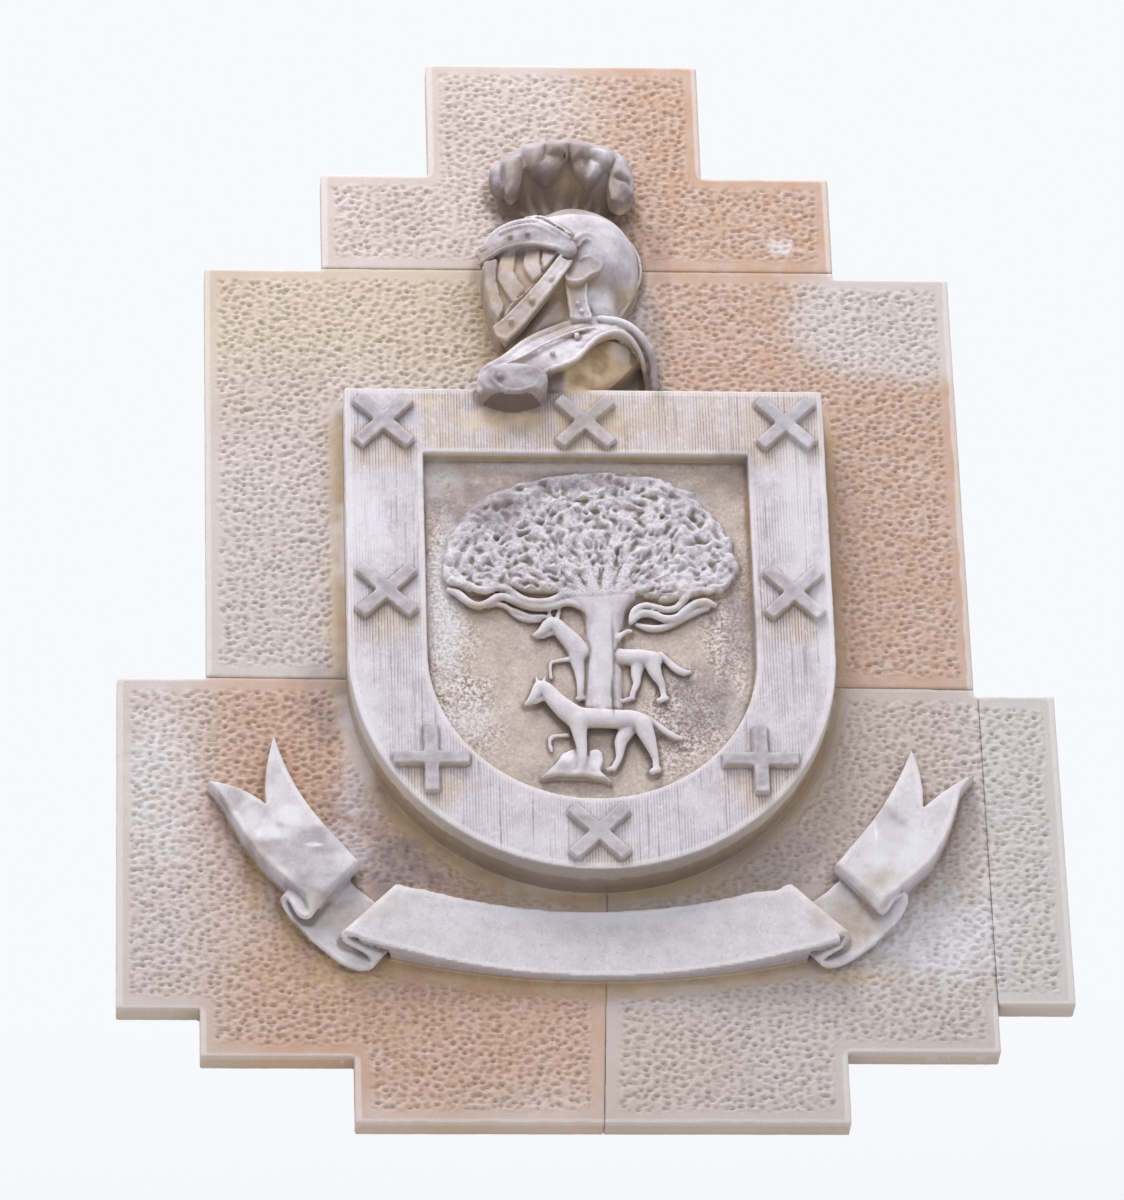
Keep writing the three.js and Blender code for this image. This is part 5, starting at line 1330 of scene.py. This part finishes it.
def stone_material(name, shade):
    n = Nodes(name)
    broad = n.noise(9.0, 4.0, 0.6)
    mottle = n.noise(45.0, 5.0, 0.6)
    grain = n.noise(420.0, 3.0, 0.6)
    speck = n.noise(900.0, 2.0, 0.7)
    fine = n.noise(330.0, 3.0, 0.7)
    grains = n.noise(240.0, 2.0, 0.75)
    fleck = n.noise(170.0, 4.0, 0.65)
    patchy = n.band(mottle, 0.25, 0.65, 0.55, 1.1)
    carving, leaves, rough = n.mark("carved"), n.mark("leaves"), n.mark("stipple")

    def times(*values):
        out = values[0]
        for value in values[1:]:
            out = n.math("MULTIPLY", out, value)
        return out

    def two_tone(noise, low, high, light, dark):
        return n.mix(n.band(noise, low, high), linear(*light), linear(*dark))

    # the backing
    colour = two_tone(broad, 0.3, 0.7, *shade)

    def tint(share, tone, kind="MIX"):
        nonlocal colour
        colour = n.mix(share, colour, linear(*tone) if isinstance(tone, tuple) else tone, kind)

    tint(n.mark("yellow"), (206, 188, 154))
    tint(times(n.mark("salmon"), n.band(mottle, 0.2, 0.65, 0.6, 1.1)), (196, 162, 142))
    tint(times(n.mark("grey"), n.band(mottle, 0.25, 0.7, 0.6, 1.0)), (204, 196, 194))
    # the carving, washed pale where rain reaches it
    washed = two_tone(mottle, 0.3, 0.7, (216, 209, 219), (200, 192, 200))
    dry = two_tone(mottle, 0.3, 0.7, (196, 180, 156), (182, 166, 144))
    shelter = n.math("ADD", n.mark("shelter"), n.band(broad, 0.2, 0.8, -0.12, 0.12))
    tint(carving, n.mix(n.band(shelter, 0.35, 0.75), washed, dry))
    tint(times(n.mark("field"), 0.85), two_tone(mottle, 0.25, 0.75, (204, 187, 172), (186, 169, 154)))
    tint(times(leaves, n.band(fine, 0.52, 0.64, 0.0, 0.6)), (236, 232, 240))
    tint(times(leaves, n.band(fine, 0.48, 0.36, 0.0, 0.6)), (138, 126, 126))
    # the punched field, its grains pale and its dots dark
    tint(times(rough, n.band(grains, 0.5, 0.62, 0.0, 0.85)), (238, 234, 242))
    tint(times(rough, n.band(grains, 0.5, 0.36, 0.0, 0.8)), (98, 86, 86))
    # the combed border, darker in its grooves
    split = n.add("ShaderNodeSeparateXYZ")
    n.set(split.inputs[0], n.place)
    drift = times(n.noise(14.0, 2.0), 2.2)
    comb = n.math("SINE", n.math("ADD", times(split.outputs["X"], 2 * math.pi / COMB_PITCH), drift))
    streak = n.noise(1.0, 3.0, 0.6, (150.0, 150.0, 9.0))
    sheltered, border = n.mark("under"), n.mark("comb")
    tint(times(sheltered, border, n.band(mottle, 0.3, 0.65, 0.25, 0.75)), (204, 186, 158))
    kept = n.math("ADD", n.band(n.noise(11.0, 3.0, 0.6), 0.42, 0.62, 0.12, 0.7), times(sheltered, 0.6), True)
    combed = times(border, kept, n.band(streak, 0.36, 0.6, 0.4, 1.0))
    tint(times(n.band(comb, 0.2, -0.9), combed, 0.85), (150, 138, 140))
    tint(times(border, n.band(n.noise(1.0, 2.0, 0.6, (280.0, 280.0, 7.0)), 0.6, 0.7, 0.0, 0.6)), (136, 122, 118))
    tint(times(n.band(comb, 0.3, 0.95), combed, 0.3), (238, 234, 244))
    tint(times(n.mark("ribbon"), 0.7), two_tone(mottle, 0.3, 0.7, (216, 213, 217), (205, 202, 206)))
    # flecks on the carving, dirt and painted shade in the hollows, and raised edges paler
    tint(times(carving, n.band(fleck, 0.55, 0.7, 0.0, 0.4)), (236, 232, 240))
    tint(times(carving, n.band(fleck, 0.44, 0.3, 0.0, 0.35)), (164, 152, 156))
    hollow = n.mark("hollow")
    tint(times(n.band(hollow, 0.52, 0.85), n.math("ADD", times(carving, 0.35), 0.42)), (134, 114, 98))
    # painted shade in the creases, on deep parts and on faces turned down
    tint(times(n.mark("crease_shade"), 0.6), (104, 88, 82))
    tint(times(n.band(hollow, 0.48, 0.2), 0.45), (232, 226, 226))
    tint(times(n.band(n.mark("deep"), 0.6, 1.0), 0.35), (152, 130, 114))
    tint(times(n.band(n.mark("down"), 0.35, 0.9), 0.4), (186, 166, 132))
    # tan stone, with painted light in the hollow under the collar
    tint(n.mark("warm"), two_tone(mottle, 0.3, 0.7, (226, 202, 172), (204, 180, 150)))
    tint(n.mark("ochre"), two_tone(mottle, 0.35, 0.65, (208, 184, 146), (190, 162, 124)))
    # the dirty places also carry painted shade, and the pale places painted light
    for mark, tone in (("beige", (180, 160, 138)), ("brown", (150, 118, 84)), ("grime_and_shade", (140, 129, 133)),
                       ("pale_and_painted_light", (232, 231, 240))):
        tint(times(n.mark(mark), patchy), tone)
    # painted shade
    tint(n.mark("dark"), (112, 96, 86))
    tint(n.mark("lichen"), (172, 184, 196))
    tint(n.band(speck, 0.25, 0.75, 0.0, 0.3), (160, 146, 136), "MULTIPLY")
    shader = n.add("ShaderNodeBsdfPrincipled")
    n.set(shader.inputs["Base Color"], colour)
    n.set(shader.inputs["Roughness"], n.band(grain, 0.2, 0.8, 0.82, 0.97))
    shader.inputs["Specular IOR Level"].default_value = 0.25
    height = times(grain, 0.7)
    crumbs = n.math("ADD", n.noise(190.0, 3.0, 0.6), times(fine, 0.7))
    for part in (times(speck, 0.4), times(comb, combed, 0.35), times(grains, rough, 2.2), times(crumbs, leaves, 5.0)):
        height = n.math("ADD", height, part)
    bump = n.add("ShaderNodeBump")
    bump.inputs["Strength"].default_value = 0.42
    bump.inputs["Distance"].default_value = 0.0012
    n.set(bump.inputs["Height"], height)
    n.set(shader.inputs["Normal"], bump.outputs["Normal"])
    output = n.add("ShaderNodeOutputMaterial")
    n.set(output.inputs["Surface"], shader.outputs["BSDF"])
    return n.material


SHADES = {
    "crest_stone": ((214, 202, 200), (204, 191, 187)),
    "middle_stone": ((210, 199, 197), (200, 188, 184)),
    "lower_left_stone": ((210, 193, 188), (196, 176, 168)),
    "lower_right_stone": ((197, 187, 184), (186, 174, 168)),
    "right_end_stone": ((208, 203, 208), (197, 192, 196)),
}

PROUD = GROUND + 1.5  # what stands out further is carving, and no longer the backing

for name, (points, normals, quads) in stones.items():
    points, normals, quads, cap = closed_back(points, normals, quads)
    marks = weather(points, normals)
    middle = points[quads].mean(1)
    x, z, p = middle.T
    if name == "middle_stone":
        helmet = (np.abs(x + 22) < 124) & (p > PROUD) & ((z > 238) | (p > 99.5) & (z > 190) & (x > -140))
        shield = (shield_distance(x, z) > -3) & (p > PROUD) & ~helmet
        groups = {"ground": ~helmet & ~shield, "shield": shield, "helmet": helmet}
    elif name.startswith("lower"):
        carved = (p > PROUD) & (z < long_joint(x) + 5)
        groups = {"ground": ~carved, "carving": carved}
    else:
        groups = {"block": np.ones(len(quads), bool)}
    material = stone_material(name, SHADES[name])
    for index, (label, chosen) in enumerate(groups.items()):
        faces = quads[chosen]
        keep = np.unique(np.concatenate([faces.ravel(), cap]) if index == 0 else faces)
        order = np.zeros(len(points), np.int64)
        order[keep] = np.arange(len(keep))
        obj = mesh_object(name + "_" + label, points[keep], normals[keep], order[faces],
                          order[cap[::-1]] if index == 0 else None)
        for mark, values in marks.items():
            attribute = obj.data.attributes.new(mark, "FLOAT", "POINT")
            attribute.data.foreach_set("value", values[keep].astype(np.float32))
        obj.data.materials.append(material)
        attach(obj, "root")
        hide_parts(name)
        print(obj.name, "triangles", 2 * len(faces))

# Floor, light and camera
floor_mesh = bpy.data.meshes.new("floor")
floor_mesh.from_pydata([(-40, -40, -5.2), (40, -40, -5.2), (40, 40, -5.2), (-40, 40, -5.2)], [], [(0, 1, 2, 3)])
floor = bpy.data.objects.new("floor", floor_mesh)
bpy.context.scene.collection.objects.link(floor)
pale = Nodes("pale_floor")
shader = pale.add("ShaderNodeBsdfPrincipled")
pale.set(shader.inputs["Base Color"], pale.mix(pale.band(pale.noise(0.5), 0.3, 0.7), (0.80, 0.80, 0.80, 1),
                                               (0.84, 0.84, 0.84, 1)))
shader.inputs["Roughness"].default_value = 0.9
pale.set(pale.add("ShaderNodeOutputMaterial").inputs["Surface"], shader.outputs["BSDF"])
floor_mesh.materials.append(pale.material)

world = bpy.data.worlds.new("sky")
bpy.context.scene.world = world
world.use_nodes = True
sky = world.node_tree
background = sky.nodes["Background"]
background.inputs["Color"].default_value = (0.96, 0.975, 1.0, 1)
direction = sky.nodes.new("ShaderNodeTexCoord")
split = sky.nodes.new("ShaderNodeSeparateXYZ")
height = sky.nodes.new("ShaderNodeMapRange")
sky.links.new(direction.outputs["Generated"], split.inputs[0])
sky.links.new(split.outputs["Z"], height.inputs["Value"])
for socket, number in zip(list(height.inputs)[1:5], (-0.2, 0.45, 0.5, 0.97)):
    socket.default_value = number
sky.links.new(height.outputs[0], background.inputs["Strength"])

light = bpy.data.lights.new("sky_above", "AREA")
light.shape = "DISK"
light.size = 2.6
light.energy = 240
lamp = bpy.data.objects.new("sky_above", light)
lamp.location = (-1.0, -2.6, 4.4)
lamp.rotation_euler = (-lamp.location).to_track_quat("-Z", "Y").to_euler()
bpy.context.scene.collection.objects.link(lamp)

EL, AZ, ROLL = math.radians(-30.0), math.radians(-4.57), math.radians(-1.9)
back = Vector((math.sin(AZ) * math.cos(EL), -math.cos(AZ) * math.cos(EL), math.sin(EL)))
right = Vector((0, 0, 1)).cross(back).normalized()
up = back.cross(right)
across = right * math.cos(ROLL) + up * math.sin(ROLL)
upward = -right * math.sin(ROLL) + up * math.cos(ROLL)
camera = bpy.data.cameras.new("camera")
camera.lens = 220.1
camera.sensor_fit = "VERTICAL"
camera.sensor_height = 36
camera.clip_end = 200
view = bpy.data.objects.new("camera", camera)
place = Vector((-0.029, 0, -0.0225)) + back * 9.469
view.matrix_world = Matrix.Translation(place) @ Matrix((across, upward, back)).transposed().to_4x4()
bpy.context.scene.collection.objects.link(view)
bpy.context.scene.camera = view
bpy.context.scene.view_settings.view_transform = "Standard"
